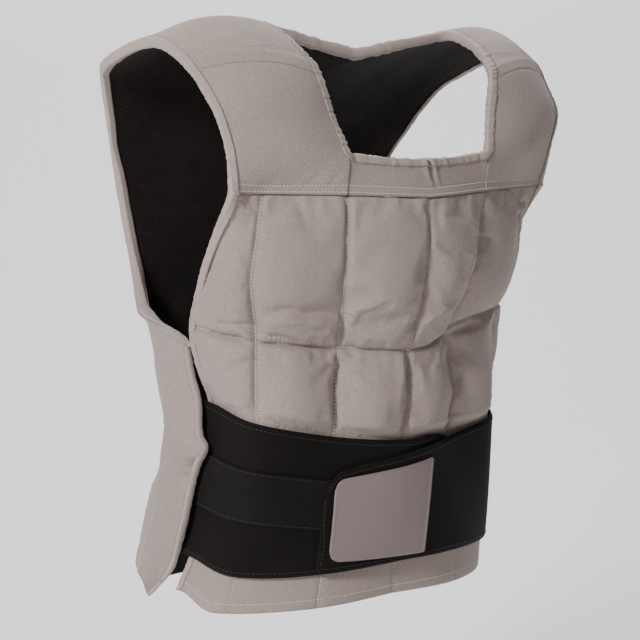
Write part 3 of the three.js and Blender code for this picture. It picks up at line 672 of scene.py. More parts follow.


# The darkest colour of each look is painted shade, mixed in along seam grooves.
taupe = clothMaterial(
    "taupeTwill",
    {"roughness": 0.85, "sheen": 0.15, "specular": 0.25, "angle": 0.9, "pitch": 0.0018, "slub": 520.0,
     "slubStretch": 0.45, "tone": 9.0, "dark": (0.36, 0.288, 0.259), "light": (0.405, 0.328, 0.297),
     "fleck": 0.83, "line": 0.74, "grooveShadeColour": (0.09, 0.07, 0.063), "weaveDepth": 0.00025, "slubDepth": 0.0004},
)
tape = clothMaterial(
    "taupeTape",
    {"roughness": 0.8, "sheen": 0.2, "specular": 0.3, "angle": 1.57, "pitch": 0.0011, "slub": 500.0,
     "slubStretch": 0.5, "tone": 14.0, "dark": (0.375, 0.302, 0.273), "light": (0.43, 0.35, 0.318),
     "fleck": 0.9, "line": 0.9, "grooveShadeColour": (0.12, 0.095, 0.085), "weaveDepth": 0.0002, "slubDepth": 0.0003},
)
blackLining = clothMaterial(
    "blackLining",
    {"roughness": 0.9, "sheen": 0.05, "specular": 0.12, "angle": 0.8, "pitch": 0.0026, "slub": 300.0,
     "slubStretch": 0.3, "tone": 12.0, "dark": (0.014, 0.0095, 0.0095), "light": (0.026, 0.018, 0.018),
     "fleck": 0.7, "line": 0.5, "grooveShadeColour": (0.002, 0.0015, 0.0015), "weaveDepth": 0.0003, "slubDepth": 0.0003},
)
neoprene = clothMaterial(
    "neoprene",
    {"roughness": 0.8, "sheen": 0.02, "specular": 0.12, "angle": 0.0, "pitch": 0.0009, "slub": 700.0,
     "slubStretch": 1.0, "tone": 10.0, "dark": (0.006, 0.0042, 0.0042), "light": (0.009, 0.0064, 0.0064),
     "fleck": 0.85, "line": 0.85, "grooveShadeColour": (0.003, 0.002, 0.002), "weaveDepth": 0.0001, "slubDepth": 0.0002},
)
ribbed = clothMaterial(
    "ribbedElastic",
    {"roughness": 0.75, "sheen": 0.03, "specular": 0.15, "angle": 1.57, "pitch": 0.0022, "slub": 500.0,
     "slubStretch": 1.0, "tone": 14.0, "dark": (0.007, 0.005, 0.005), "light": (0.0105, 0.0075, 0.0075),
     "fleck": 0.85, "line": 0.6, "grooveShadeColour": (0.004, 0.003, 0.003), "weaveDepth": 0.0004, "slubDepth": 0.0002},
)


def plainMaterial(name, colour, roughness, grain, depth):
    material, tree, shader = newMaterial(name, roughness)
    coordinate = node(tree, "TexCoord")
    fine = node(tree, "TexNoise", {"Vector": coordinate.outputs["Object"], "Scale": grain, "Detail": 4.0})
    darker = tuple(c * 0.88 for c in colour)
    shade = ramp(tree, fine.outputs["Fac"], [(0.3, darker), (0.7, colour)])
    tree.links.new(shade, shader.inputs["Base Color"])
    bump = node(tree, "Bump", {"Height": fine.outputs["Fac"], "Distance": depth, "Strength": 0.5})
    tree.links.new(bump.outputs["Normal"], shader.inputs["Normal"])
    return material


thread = plainMaterial("threadTaupe", (0.625, 0.562, 0.525), 0.7, 900.0, 0.0001)
tapeThread = plainMaterial("threadShade", (0.21, 0.172, 0.158), 0.7, 900.0, 0.0001)
darkThread = plainMaterial("threadBlack", (0.014, 0.011, 0.011), 0.6, 900.0, 0.0001)
rubber = plainMaterial("patchRubber", (0.219, 0.166, 0.159), 0.5, 1500.0, 0.00006)
print("materials made")

# Front panel: six columns and two rows of filled pockets

frontLook = {
    "columns": 196, "upperRows": 92, "lowerRows": 110, "puff": 12.0, "lowerShare": 1.05,
    "pressed": 1.0, "beltMargin": 2.0, "beltEase": 15.0, "across": 0.7, "upperShift": 2.1,
    "upperPower": 0.7, "lowerShift": 0.75, "lowerPower": 0.45, "farFlatter": 0.55, "thickness": 7.0,
    "filling": 8.0, "grooveDepth": 1.5, "grooveWidth": 2.6, "grooveUnderBelt": 0.4,
    "foldsUnderBelt": 0.15, "pucker": 0.8, "puckerCell": 8.0, "wave": 1.3, "foldHeight": 1.4,
    "deepest": -2.2, "grooveShadeShare": 0.16, "fill": 0.6,
}
seeds = {
    "line": 11, "seam": 12, "top": 13, "broad": 14, "fine": 15, "strap": 21, "yoke": 22,
    "strapEnd": 23, "strapSeam": 24, "back": 31, "lining": 33, "gather": 41,
}
simulation = {
    "frames": 16, "every": 2, "cap": 4.5, "leastSewn": 0.02, "inwardLoss": 0.85,
    "cloth": {
        "quality": 6, "mass": 0.2, "tension_stiffness": 25, "compression_stiffness": 25,
        "shear_stiffness": 8, "bending_stiffness": 0.6, "air_damping": 3, "use_pressure": True,
        "uniform_pressure_force": 2.5, "vertex_group_mass": "sewn", "shrink_min": -0.03,
    },
}
quiltLean = table(
    "drop shift",
    [
        [170, 0], [182, -0.07], [217, -0.15], [254, -0.2], [290, -0.24], [304, -0.2], [312, -0.05],
        [320, 0], [560, 0],
    ],
)
creases = [  # width and height of each, then the places and drops that it runs through
    [4, -2.5, -2.46, 280, -2.19, 280.5, -1.97, 283], [4, 2.2, -2.22, 283.5, -2.11, 291, -2.04, 302],
    [3, -2, -2.4, 292, -2.2, 297, -2.09, 303], [4, -2.4, -1.97, 288, -1.77, 291, -1.5, 299],
    [8, -2.6, -1.89, 269.5, -1.63, 264, -1.37, 266.5, -1.11, 265],
    [5, 2.4, -1.78, 273.5, -1.53, 274, -1.28, 277.5, -1.04, 283.5],
    [4.5, -4, -0.95, 277.5, -0.99, 293.5, -1.03, 307.5],
    [4, 1.8, -1.17, 285, -1.09, 297.5, -1.05, 306.5],
    [3, -2.2, -1.11, 308.5, -1.02, 319, -0.87, 325.5],
    [3.5, 2.2, -1.07, 304.5, -0.97, 316, -0.82, 321.5],
    [3.5, -2.8, -0.99, 326, -1.03, 344.5, -1.04, 363, -1.04, 394.5],
    [5, 2.6, -0.95, 297, -0.91, 280, -0.84, 266, -0.67, 260.5],
    [12, -2.6, -0.77, 282, -0.47, 279, -0.21, 284],
    [3.5, -4, -0.05, 313, -0.03, 335.5, -0.08, 362, -0.02, 401],
    [6, 1.6, -0.18, 314, -0.14, 335, -0.19, 361.5],
    [4.5, -3.2, 0.93, 182.5, 0.85, 217.5, 0.8, 254, 0.78, 272],
    [5, -4, 0.78, 272, 0.76, 290, 0.79, 304.5], [6, -3.4, 0.84, 307, 1.27, 298, 1.72, 287.5],
    [8, 2.2, 0.77, 194.5, 0.65, 220.5, 0.53, 250.5],
    [4, -3, 0.94, 310, 1, 344, 0.97, 376.5, 0.99, 409], [6, 1.8, -0.02, 303, 0.1, 281.5, 0.35, 271],
    [5, -1.4, -2, 320, -2.16, 318.5, -2.37, 324.5], [4, -1.8, -0.02, 173.5, 0, 182],
    [4, -1.6, -2.2, 170, -2.04, 178.5], [5, 1.5, 0.52, 406, 0.75, 394, 0.94, 390],
    [7, -1.3, -1.92, 314.5, -1.65, 319, -1.36, 318, -1.14, 311.5],
    [6, -1.2, -0.92, 312, -0.66, 316, -0.2, 318],
]


def frontDrop(k, v):
    upper = lerp(chestSeam(k), quiltSeam(k), v)
    lower = lerp(quiltSeam(k), frontHem(k), v - 1)
    return np.where(v <= 1, upper, lower)


def pocketPlace(k, drop):
    # The place in pocket columns, where the line left of the middle leans inward.
    line = 1 + through(quiltLean["drop"], quiltLean["shift"], drop)
    outer = np.where(k < 2, 1 + (k - line) / (2 - line), k)
    return np.where(k <= 0, k, np.where(k <= line, k / line, outer))


def beltFree(k, drop):
    # 1 where the cloth is free of the belt and 0 where the belt presses it.
    top = np.where(k < overlap["end"], beltLine(rightBeltTable, "top", k), beltLine(leftBeltTable, "top", k))
    edge = top - frontLook["beltMargin"]
    return 1 - smooth(drop, edge - frontLook["beltEase"], edge)


def puff(q, v):
    across = np.abs(np.sin(math.pi * (np.abs(q) % 1))) ** frontLook["across"]
    upperPlace = np.clip(v, 0, 1) ** frontLook["upperShift"]
    lowerPlace = np.clip(v - 1, 0, 1) ** frontLook["lowerShift"]
    upper = np.abs(np.sin(math.pi * upperPlace)) ** frontLook["upperPower"]
    lower = np.abs(np.sin(math.pi * lowerPlace)) ** frontLook["lowerPower"]
    return frontLook["puff"] * across * np.where(v <= 1, upper, frontLook["lowerShare"] * lower)


def foldLift(points, folds):
    # Ridges and valleys along short lines, each fading at its ends.
    total = np.zeros(points.shape[:-1])
    for a, b, width, height in folds:
        ab = b - a
        t = np.clip(((points - a) @ ab) / (ab @ ab), 0, 1)
        far = np.linalg.norm(points - a - t[..., None] * ab, axis=-1)
        total += height * bell(far, width) * (0.55 + 0.45 * np.sqrt(4 * t * (1 - t)))
    return total


def creasePath(row):
    # Ends, width and height of each straight piece of a crease.
    width, height, *places = row
    points = [frontBase(k, drop) for k, drop in zip(places[::2], places[1::2])]
    return [(a, b, width, frontLook["foldHeight"] * height) for a, b in zip(points, points[1:])]


frontFolds = [fold for row in creases for fold in creasePath(row)]


def frontSurface(kLine, vLine):
    # Base grid, normals, outer grid, seam grooves and free cloth of the front panel; the seam grooves also
    # carry painted shade.
    k, v = np.meshgrid(kLine, vLine)
    drop = frontDrop(k, v)
    base = frontBase(k, drop)
    normals = frontNormal(k, drop)
    q = pocketPlace(k, drop)
    free = beltFree(k, drop)
    column = np.round(q)
    pocketWidth = np.linalg.norm(frontBase(k + 0.5, drop) - frontBase(k - 0.5, drop), axis=-1)
    narrow = np.minimum(1, pocketWidth / (torsoBreadth / 4.4))
    besideLine = np.abs(q - column) * pocketWidth
    belowSeam = np.abs(drop - quiltSeam(k))
    belowTop = drop - chestSeam(k)
    inner = (np.abs(column) < 3).astype(float)
    width, cell = frontLook["grooveWidth"], frontLook["puckerCell"]
    line = bell(besideLine, width) * inner * lerp(frontLook["grooveUnderBelt"], 1, free)
    grooveAndShade = np.maximum(line, bell(belowSeam, width))
    ripple = softNoise(drop / cell, column * 7.3, seeds["line"]) * bell(besideLine - 6, 8) * inner
    ripple = ripple + softNoise(k * pocketWidth / cell, v * 3 + 5, seeds["seam"]) * bell(belowSeam - 6, 10)
    ripple = ripple + softNoise(k * pocketWidth / 10, v * 0 + 2, seeds["top"]) * bell(belowTop - 4, 12)
    waves = softNoise(k * 2.1, drop / 55, seeds["broad"])
    waves = waves + softNoise(k * 4.3 + drop / 90, drop / 26, seeds["fine"]) * 0.5
    full = puff(q, v) * narrow * (0.05 + 0.95 * smooth(3 - np.abs(k), 0, 0.6))
    full = full * (1 - frontLook["farFlatter"] * smooth(k, 1.7, 2.7) * (v <= 1))
    lift = lerp(np.minimum(full, frontLook["pressed"]), full, free) - frontLook["grooveDepth"] * grooveAndShade
    lift = lift + free * frontLook["pucker"] * ripple
    lift = lift + free * frontLook["wave"] * waves * smooth(belowTop, 0, 20) * (1 - grooveAndShade)
    lift = lift + lerp(frontLook["foldsUnderBelt"], 1, free) * foldLift(base + normals * 3, frontFolds)
    lift = np.maximum(lift, frontLook["deepest"])
    return base, normals, base + normals * lift[..., None], grooveAndShade, free


def simulate(grid, sewn, normals):
    # How far each point of a sheet moves in a cloth simulation. Sewn is 1 where a point stays.
    rows, cols = grid.shape[:2]
    ids = np.arange(rows * cols).reshape(rows, cols)
    faces = np.stack([ids[:-1, :-1], ids[1:, :-1], ids[1:, 1:], ids[:-1, 1:]], -1).reshape(-1, 4)
    mesh = bpy.data.meshes.new("simulated")
    mesh.from_pydata((grid.reshape(-1, 3) * mm).tolist(), [], faces.tolist())
    mesh.update()
    if np.dot(np.array(mesh.polygons[len(faces) // 2].normal), normals[rows // 2, cols // 2]) < 0:
        mesh.flip_normals()
    piece = linked("simulated", mesh)
    group = piece.vertex_groups.new(name="sewn")
    for i, weight in enumerate(sewn.ravel()):
        if weight > simulation["leastSewn"]:
            group.add([i], float(weight), "REPLACE")
    cloth = piece.modifiers.new("cloth", "CLOTH")
    cloth.settings.effector_weights.gravity = 0
    for key, value in simulation["cloth"].items():
        setattr(cloth.settings, key, value)
    cloth.point_cache.frame_start = 1
    cloth.point_cache.frame_end = simulation["frames"]
    scene = bpy.context.scene
    for frameNumber in range(1, simulation["frames"] + 1):
        scene.frame_set(frameNumber)
    made = piece.evaluated_get(bpy.context.evaluated_depsgraph_get()).to_mesh()
    moved = np.empty(rows * cols * 3)
    made.vertices.foreach_get("co", moved)
    bpy.data.objects.remove(piece)
    scene.frame_set(1)
    shift = moved.reshape(grid.shape) / mm - grid
    far = np.linalg.norm(shift, axis=-1, keepdims=True)
    cap = simulation["cap"]
    shift = np.nan_to_num(shift / np.maximum(far, 1e-6) * cap * np.tanh(far / cap))
    inward = np.minimum((shift * normals).sum(-1, keepdims=True), 0)
    return shift - simulation["inwardLoss"] * normals * inward


def largest(shift):
    return float(np.linalg.norm(shift, axis=-1).max())


kLine = np.linspace(-3, 3, frontLook["columns"] + 1)
vLine = joinedRuns((0, 1, frontLook["upperRows"]), (1, 2, frontLook["lowerRows"]))
frontGrid, frontNormals, frontOuter, frontGroove, frontFree = frontSurface(kLine, vLine)
every = simulation["every"]
part = frontOuter[::every, ::every]
sewn = np.maximum(frontGroove**2, 1 - frontFree)[::every, ::every]
sewn[[0, -1], :] = 1
sewn = np.maximum(sewn, 1 - smooth(3 - np.abs(kLine[::every]), 0.05, 0.9))
shift = simulate(part, np.clip(sewn, 0, 1), frontNormals[::every, ::every])
fineR, fineC = np.meshgrid(np.arange(len(vLine)) / every, np.arange(len(kLine)) / every, indexing="ij")
frontOuter = frontOuter + onGrid(shift, fineR, fineC) * (1 - frontGroove[..., None])
print("cloth simulated: largest move", largest(shift))
fromEdge = 3 - np.abs(kLine)[None, :]
filled = smooth(fromEdge, 0, 0.5) * smooth(vLine, 0, 0.2)[:, None] * smooth(2 - vLine, 0, 0.12)[:, None]
innerDepth = frontLook["thickness"] + frontLook["filling"] * filled
frontInner = frontGrid - frontNormals * innerDepth[..., None]
frontOuter[0, :, 2] -= pieceGap / 2
frontInner[0, :, 2] -= pieceGap / 2
# Painted shade along the quilting seams: a share of the groove mask darkens the cloth's colour there.
frontPanel = shell("frontPanel", frontOuter, frontInner, taupe, grooveAndShade=frontGroove * frontLook["grooveShadeShare"])
attach(frontPanel, "front_panel")


def seamStitches(outer, normals, rows, cols, pitch):
    # Stitches along fractional rows and columns of a surface.
    return stitchRow(onGrid(outer, rows, cols), unit(onGrid(normals, rows, cols)), pitch)


frontSurfaceNormals = gridNormals(frontOuter)
lastFrontRow = float(len(vLine) - 1)
perColumn = (len(kLine) - 1) / 6
frontStitches = []
for column in (-2, -1, 0, 1, 2):
    rows = np.linspace(1.5, lastFrontRow - 1, 260)
    middle = np.interp(rows, np.arange(len(vLine)), frontGrid[:, int(perColumn * (column + 3)), 2])
    place = column + (through(quiltLean["drop"], quiltLean["shift"], -middle) if column == 1 else 0 * rows)
    columnPlaces = (place + 3) * perColumn
    frontStitches.append(
        seamStitches(frontOuter, frontSurfaceNormals, rows, columnPlaces, stitchPitch["panel"])
    )
seamColumns = np.linspace(3, len(kLine) - 4, 240)
for seamRow in (frontLook["upperRows"], len(vLine) - 5.0):
    rows = seamRow + 0 * seamColumns
    frontStitches.append(
        seamStitches(frontOuter, frontSurfaceNormals, rows, seamColumns, stitchPitch["panel"])
    )
stitches("frontStitches", frontStitches, thread)
print("front panel made")

# Straps and chest yoke

strapLook = {
    "columns": 60, "rows": 110, "wave": 1.0, "seamStep": 1.4, "seamInner": 32.0, "seamOuter": 4.5,
    "seamRidge": 0.8,
    "stitchAt": [3.0, 9.5],
    "stitchDepth": 0.5, "stitchWidth": 1.4, "fill": 0.5,
}
yokeLook = {
    "columns": 80, "rows": 30, "flat": 0.4, "wave": 0.6,
    # Place, width and height of each.
    "puckers": [(4.0, 2.6, -3.2), (-1.5, 3.2, 2.6), (9.0, 3.4, 2.2), (14.0, 3.0, -1.2)],
    "puckerTurn": 9.0, "fill": 0.4,
}
strapWidths = np.linspace(0, 1, strapLook["columns"] + 1)
strapK = lerp(1, 3, strapWidths)


def strapSurface():
    # Left strap from the chest seam to the shoulder seam.
    rows = [frontBase(strapK, chestSeam(strapK) - pieceGap / 2)]
    rows += [strapPoint(row, strapWidths) for row in range(strapSeamRow + 1)]
    r = np.linspace(0, len(rows) - 1, strapLook["rows"] + 1)
    return throughRows(np.array(rows), r), r


strapGrid, strapRows = strapSurface()
yokeK = np.linspace(-1, 1, yokeLook["columns"] + 1)
yokeRise = np.linspace(0, 1, yokeLook["rows"] + 1)


def yokeSurface():
    rows = []
    seamRow = frontBase(yokeK, chestSeam(yokeK) - pieceGap / 2)
    for rise in yokeRise:
        side = onLine(rise, strapRows, strapGrid[:, 0])
        dip = necklineDip * (1 - yokeK**2)
        flat = yokeLook["flat"] * (1 - yokeK**2)
        neckY = lerp(side[1], seamRow[:, 1], flat)
        neck = np.stack([yokeK * necklineBreadth / 2, neckY, -necklineDrop - dip], -1)
        p = lerp(seamRow, neck, rise)
        target = np.stack([np.sign(yokeK) * side[0], side[1] + 0 * yokeK, side[2] + 0 * yokeK], -1)
        p = lerp(p, target, (yokeK**6)[:, None])
        p[:, 0] -= yokeK * pieceGap
        rows.append(p)
    return np.array(rows)


yokeGrid = yokeSurface()
strapNormals = gridNormals(strapGrid)
yokeNormals = gridNormals(yokeGrid)
yokeNormals[0] = frontNormal(yokeK, chestSeam(yokeK))
strapNormals[0] = frontNormal(strapK, chestSeam(strapK))


def mirror(grid):
    return grid * np.array([-1, 1, 1])


def sunkStitches(distance):
    # The dents of the two rows of stitches beside the chest seam.
    dents = [bell(distance - place, strapLook["stitchWidth"]) for place in strapLook["stitchAt"]]
    return strapLook["stitchDepth"] * sum(dents)


u, v = lengths(strapGrid)
strapRun = v[-1:] - v
strapSeam = lerp(strapLook["seamInner"], strapLook["seamOuter"], strapWidths)
strapLift = strapLook["wave"] * softNoise(u / 45, v / 50, seeds["strap"]) * smooth(v, 0, 30)
strapLift = strapLift + strapLook["seamStep"] * (1 - smooth(v, 0, 9)) - sunkStitches(v)
strapLift = strapLift * smooth(strapRun, 0, 25)
strapLift = strapLift - strapLook["stitchDepth"] * bell(strapRun - strapSeam, 1.5)
strapLift = strapLift + strapLook["seamRidge"] * bell(strapRun - strapSeam + 12, 4)
strapLift = strapLift + 0.5 * softNoise(u / 7, v * 0 + 3, seeds["strapEnd"]) * bell(v - 14, 9)
strapLift = strapLift + 0.4 * softNoise(u / 12, v / 16, seeds["strapSeam"]) * bell(strapRun - strapSeam, 14)
strapOuter = strapGrid + strapNormals * strapLift[..., None]
strapInner = strapGrid - strapNormals * edgeThickness
# Painted shade along the strap's chest seam.
strapSeamShade = 0.6 * bell(v, 1.2)
strapLeft = shell("strapLeft", strapOuter, strapInner, taupe, grooveAndShade=strapSeamShade)
attach(strapLeft, "shoulder_strap_left")
strapRight = shell("strapRight", mirror(strapOuter), mirror(strapInner), taupe, grooveAndShade=strapSeamShade)
attach(strapRight, "shoulder_strap_right")

u, v = lengths(yokeGrid)
yokeWave = yokeLook["wave"] * softNoise(u / 25, v / 30, seeds["yoke"]) * smooth(v, 4, 20)
yokeLift = strapLook["seamStep"] * (1 - smooth(v, 0, 9)) + yokeWave
pinch = np.clip((v - 3) / np.maximum(v[-1:], 1), 0, 1)
for place, width, height in yokeLook["puckers"]:
    yokeLift = yokeLift + height * pinch * bell(u - place - yokeLook["puckerTurn"] * (1 - pinch), width)
yokeLift = yokeLift - sunkStitches(v)
yokeOuter = yokeGrid + yokeNormals * yokeLift[..., None]
yokeInner = yokeGrid - yokeNormals * edgeThickness
yokeSide = np.abs(np.abs(u) - np.abs(u[:, :1]))
# Painted shade along the yoke's chest seam and along its sides beside the straps.
yokeSeamShade = np.clip(0.6 * bell(v, 1.2) + 0.6 * bell(yokeSide, 0.9), 0, 1)
chestYoke = shell("chestYoke", yokeOuter, yokeInner, taupe, grooveAndShade=yokeSeamShade)
attach(chestYoke, "chest_yoke")


def atDistance(grid, distance, cols):
    # Fractional rows at a distance down from the first row, for columns of a grid.
    down = lengths(grid)[1]
    places = [np.interp(distance, down[:, int(c)], np.arange(len(grid))) for c in cols]
    return np.array(places)


def bothSides(points, normals, pitch, bold=1.0):
    return [stitchRow(points, normals, pitch, bold), stitchRow(mirror(points), mirror(normals), pitch, bold)]


strapSurfaceNormals = gridNormals(strapOuter)
yokeSurfaceNormals = gridNormals(yokeOuter)
strapStitches = []
for place in strapLook["stitchAt"]:
    cols = np.linspace(0, len(strapWidths) - 4, 120)
    rows = atDistance(strapOuter, place, cols)
    line, lineNormals = onGrid(strapOuter, rows, cols), unit(onGrid(strapSurfaceNormals, rows, cols))
    strapStitches += bothSides(line, lineNormals, stitchPitch["strap"])
    cols = np.linspace(1, len(yokeK) - 2, 120)
    rows = atDistance(yokeOuter, place, cols)
    strapStitches.append(seamStitches(yokeOuter, yokeSurfaceNormals, rows, cols, stitchPitch["strap"]))
cols = np.linspace(3, len(strapWidths) - 4, 120)
down = lengths(strapOuter)[1]
rows = []
for c in cols:
    place = down[-1, int(c)] - np.interp(c, np.arange(len(strapWidths)), strapSeam)
    rows.append(np.interp(place, down[:, int(c)], np.arange(len(down))))
rows = np.array(rows)
line, lineNormals = onGrid(strapOuter, rows, cols), unit(onGrid(strapSurfaceNormals, rows, cols))
shoulderStitches = bothSides(line, lineNormals, stitchPitch["panel"], 0.7)
stitches("strapStitches", strapStitches, thread)
stitches("shoulderStitches", shoulderStitches, tapeThread)
print("straps and yoke made")

# Back panel and its lining

backLook = {
    "columns": 60, "wingColumns": 40, "rowsAbove": 13, "rowsBelow": 10, "puff": 5.0,
    "columnPower": 0.7, "rowPower": 0.5, "pocketTop": 170.0, "topStitchGap": 8.0, "quilting": 320.0,
    "pocketEnd": 560.0, "wave": 0.9, "wingWave": 1.6, "wingThinner": 0.5, "hemTurn": 110.0,
    "fill": 0.5,
}
halfPlaces = joinedRuns((0, 1, backLook["columns"]), (1, 2, backLook["wingColumns"]))
backPlaces = np.concatenate([-halfPlaces[:0:-1], halfPlaces])
armholeIndex = armholeRow * backLook["rowsAbove"]
rowsBelowArm = (lastBackRow - armholeRow) * backLook["rowsBelow"]
backRows = joinedRuns((0, armholeRow, armholeIndex), (armholeRow, lastBackRow, rowsBelowArm))
backBase = backGrid(backPlaces, backRows)
wingHem = table(
    "t rise",
    [
        [0.78, 0], [0.9, 11], [1.0, 22], [1.2, 26.5], [1.4, 26], [1.6, 19.5], [1.8, 10], [1.92, 5],
        [2.0, 3],
    ],
)
wingFolds = [  # from, to, width and height of each
    (np.array(row[:3]), np.array(row[3:6]), row[6], row[7])
    for row in (
        [-159, 101, -420, -179, 36, -430, 5, -7], [-179, 36, -430, -177, 21, -419, 5, -6],
        [-175, 70, -411, -177, 34, -414, 6, 5], [-177, 34, -414, -175, 18, -406, 6, 5],
        [-181, 49, -438, -178, 28, -431, 6, 4], [-183, 56, -441, -188, 60, -500, 10, 2.5],
        [-139, 144, -449, -190, 82, -504, 9, -2], [-182, 64, -325, -172, 76, -404, 8, 2],
        [-179, 50, -348, -177, 47, -399, 8, -1.5], [-192, 90, -526, -189, 73, -538, 5, 2],
        [-187, 63, -521, -187, 55, -506, 6, -2],
    )
]
rise = through(wingHem["t"], wingHem["rise"], np.clip(np.abs(backPlaces), wingHem["t"][0], 2))
for j in np.flatnonzero(rise > 0):
    line = backBase[armholeIndex:, j].copy()
    drop = -line[:, 2]
    moved = drop - rise[j] * smooth(drop, drop[-1] - backLook["hemTurn"], drop[-1])
    backBase[armholeIndex:, j] = onLine(moved, drop, line)
backNormals = gridNormals(backBase)
middleT = np.abs(backPlaces[1:] + backPlaces[:-1])[None, :] / 2
middleR = (backRows[1:] + backRows[:-1])[:, None] / 2
keepBack = np.where(middleT > 1, middleR > armholeRow, (middleR > neckRow) | (middleT > 0.5))
tGrid, rGrid = np.meshgrid(backPlaces, backRows)
dropGrid = -backBase[..., 2]


def backPuff():
    # Filled pockets of the back: six columns and two rows below the armholes.
    a = np.abs(tGrid)
    top, middle, end = backLook["pocketTop"], backLook["quilting"], backLook["pocketEnd"]
    column = np.abs(np.sin(math.pi * np.minimum(a, 1) * 3)) ** backLook["columnPower"]

    def row(first, last):
        place = np.clip((dropGrid - first) / (last - first), 0, 1)
        return np.abs(np.sin(math.pi * place)) ** backLook["rowPower"]

    return (a < 1) * column * (smooth(dropGrid, top - 5, top + 15) * row(top, middle) + row(middle, end))


u, v = lengths(backBase)
acrossAt = np.array([np.interp([0.5, 1], backPlaces, np.abs(row)) for row in np.abs(u)])
besideArm = np.where((rGrid < armholeRow) & (np.abs(tGrid) <= 1), acrossAt[:, 1:] - np.abs(u), 999)
besideNeck = np.where((rGrid < neckRow) & (np.abs(tGrid) >= 0.5), np.abs(u) - acrossAt[:, :1], 999)
underArm = np.where(np.abs(tGrid) > 1, v - v[armholeIndex], 999)
underNeck = np.where(np.abs(tGrid) < 0.5, v - np.array([np.interp(neckRow, backRows, c) for c in v.T]), 999)
fromEnd = np.abs(u[:, -1:]) - np.abs(u)
fromBackEdge = np.min(np.stack([besideArm, besideNeck, underArm, underNeck, fromEnd, v[-1:] - v]), 0)
wingShare = smooth(np.abs(tGrid), 1, 1.3)
waveHeight = lerp(backLook["wave"], backLook["wingWave"], wingShare)
backWave = softNoise(tGrid * 5, dropGrid / 60, seeds["back"]) * waveHeight
backWave = backWave * smooth(v, 0, 25) + foldLift(backBase, wingFolds)
backThickness = edgeThickness * (1 - backLook["wingThinner"] * smooth(np.abs(tGrid), 1.2, 1.9))[..., None]
backOuter = backBase + backNormals * (backWave + backLook["puff"] * backPuff())[..., None]
every = simulation["every"]
pocketRows = slice(armholeIndex, len(backRows), every)
pocketCols = np.flatnonzero(np.abs(backPlaces) <= 1.001)
pocketCols = slice(pocketCols[0], pocketCols[-1] + 1, every)
a = np.abs(tGrid)[pocketRows, pocketCols] * 3
sewn = bell(np.abs(a - np.round(a)), 0.06)
for seamDrop in (backLook["quilting"], backLook["pocketTop"]):
    sewn = np.maximum(sewn, bell(dropGrid[pocketRows, pocketCols] - seamDrop, 4))
sewn[[0, -1], :] = 1
sewn[:, [0, -1]] = 1
part = backOuter[pocketRows, pocketCols]
shift = simulate(part, sewn, backNormals[pocketRows, pocketCols])
fineRows, fineCols = len(backRows) - armholeIndex, every * part.shape[1] - 1
fineR, fineC = np.meshgrid(np.arange(fineRows) / every, np.arange(fineCols) / every, indexing="ij")
whole = slice(armholeIndex, len(backRows)), slice(pocketCols.start, pocketCols.start + fineCols)
backOuter[whole] += onGrid(shift, np.minimum(fineR, part.shape[0] - 1), fineC)
print("back simulated: largest move", largest(shift))
backInner = backBase - backNormals * backThickness
backPanel = shell("backPanel", backOuter, backInner, taupe, keep=keepBack)
attach(backPanel, "back_panel")
backSurfaceNormals = gridNormals(backOuter)
backStitches = []
placeIndex, rowIndex = np.arange(len(backPlaces)), np.arange(len(backRows))
for third in (-2, -1, 0, 1, 2):
    rows = np.interp(np.linspace(6.6, 19.9, 320), backRows, rowIndex)
    cols = np.interp(third / 3, backPlaces, placeIndex) + 0 * rows
    backStitches.append(seamStitches(backOuter, backSurfaceNormals, rows, cols, stitchPitch["panel"]))
cols = np.interp(np.linspace(-0.97, 0.97, 300), backPlaces, placeIndex)
for drop in (backLook["pocketTop"], backLook["pocketTop"] + backLook["topStitchGap"], backLook["quilting"]):
    rows = np.interp(drop, dropGrid[:, len(backPlaces) // 2], rowIndex) + 0 * cols
    backStitches.append(seamStitches(backOuter, backSurfaceNormals, rows, cols, stitchPitch["panel"]))
stitches("backStitches", backStitches, thread)
liningLook = {
    "ridges": [(160, 1.4), (171, 1.2)],  # drop and height
    "curved": {"drop": 196, "sway": 6, "height": 2.0},
    "wave": 0.8, "highest": 3.0,
}
curved = liningLook["curved"]
liningOuter = backBase - backNormals * (backThickness + pieceGap)
liningRidge = sum(height * bell(dropGrid - drop, 3) for drop, height in liningLook["ridges"])
curvedDrop = dropGrid - curved["drop"] - curved["sway"] * np.sin(tGrid * 3)
liningRidge = liningRidge + curved["height"] * bell(curvedDrop, 4) * smooth(-tGrid, -0.3, 0.2)
liningRidge = liningRidge + liningLook["wave"] * softNoise(tGrid * 8, dropGrid / 22, seeds["lining"])
liningRidge = np.clip(liningRidge * smooth(fromBackEdge, 11, 20), 0, liningLook["highest"])
liningInner = liningOuter - backNormals * (liningThickness + liningRidge)[..., None]
backLining = shell("backLining", liningOuter, liningInner, blackLining, keep=keepBack)
attach(backLining, "back_lining")
print("back made")

# Belt, elastic and patch


def band(rows, places, steps, lift):
    v = np.linspace(0, 1, steps + 1)
    s, vv = np.meshgrid(places, v)
    top, bottom = beltLine(rows, "top", s), beltLine(rows, "bottom", s)
    return beltPoint(s, lerp(top, bottom, vv), lift(s))


def overlapLift(s):
    return (beltThickness + layerSlack) * (1 - smooth(s, overlap["end"], overlap["end"] + overlap["run"]))


def leftLift(s):
    return beltThickness + overlapLift(s)


def roundedShell(name, outer, thickness, material, soft=1.2):
    # A band whose faces turn round its edges.
    normals = gridNormals(outer)
    u, v = lengths(outer)
    span = np.stack([v, v[-1:] - v, u - u[:, :1], u[:, -1:] - u])
    near = np.min(span, 0)
    fall = soft * (1 - np.sqrt(np.clip(1 - (1 - np.clip(near / (2.0 * soft), 0, 1)) ** 2, 0, 1)))
    top = outer - normals * fall[..., None]
    under = outer - normals * (thickness - fall)[..., None]
    return shell(name, top, under, material), normals


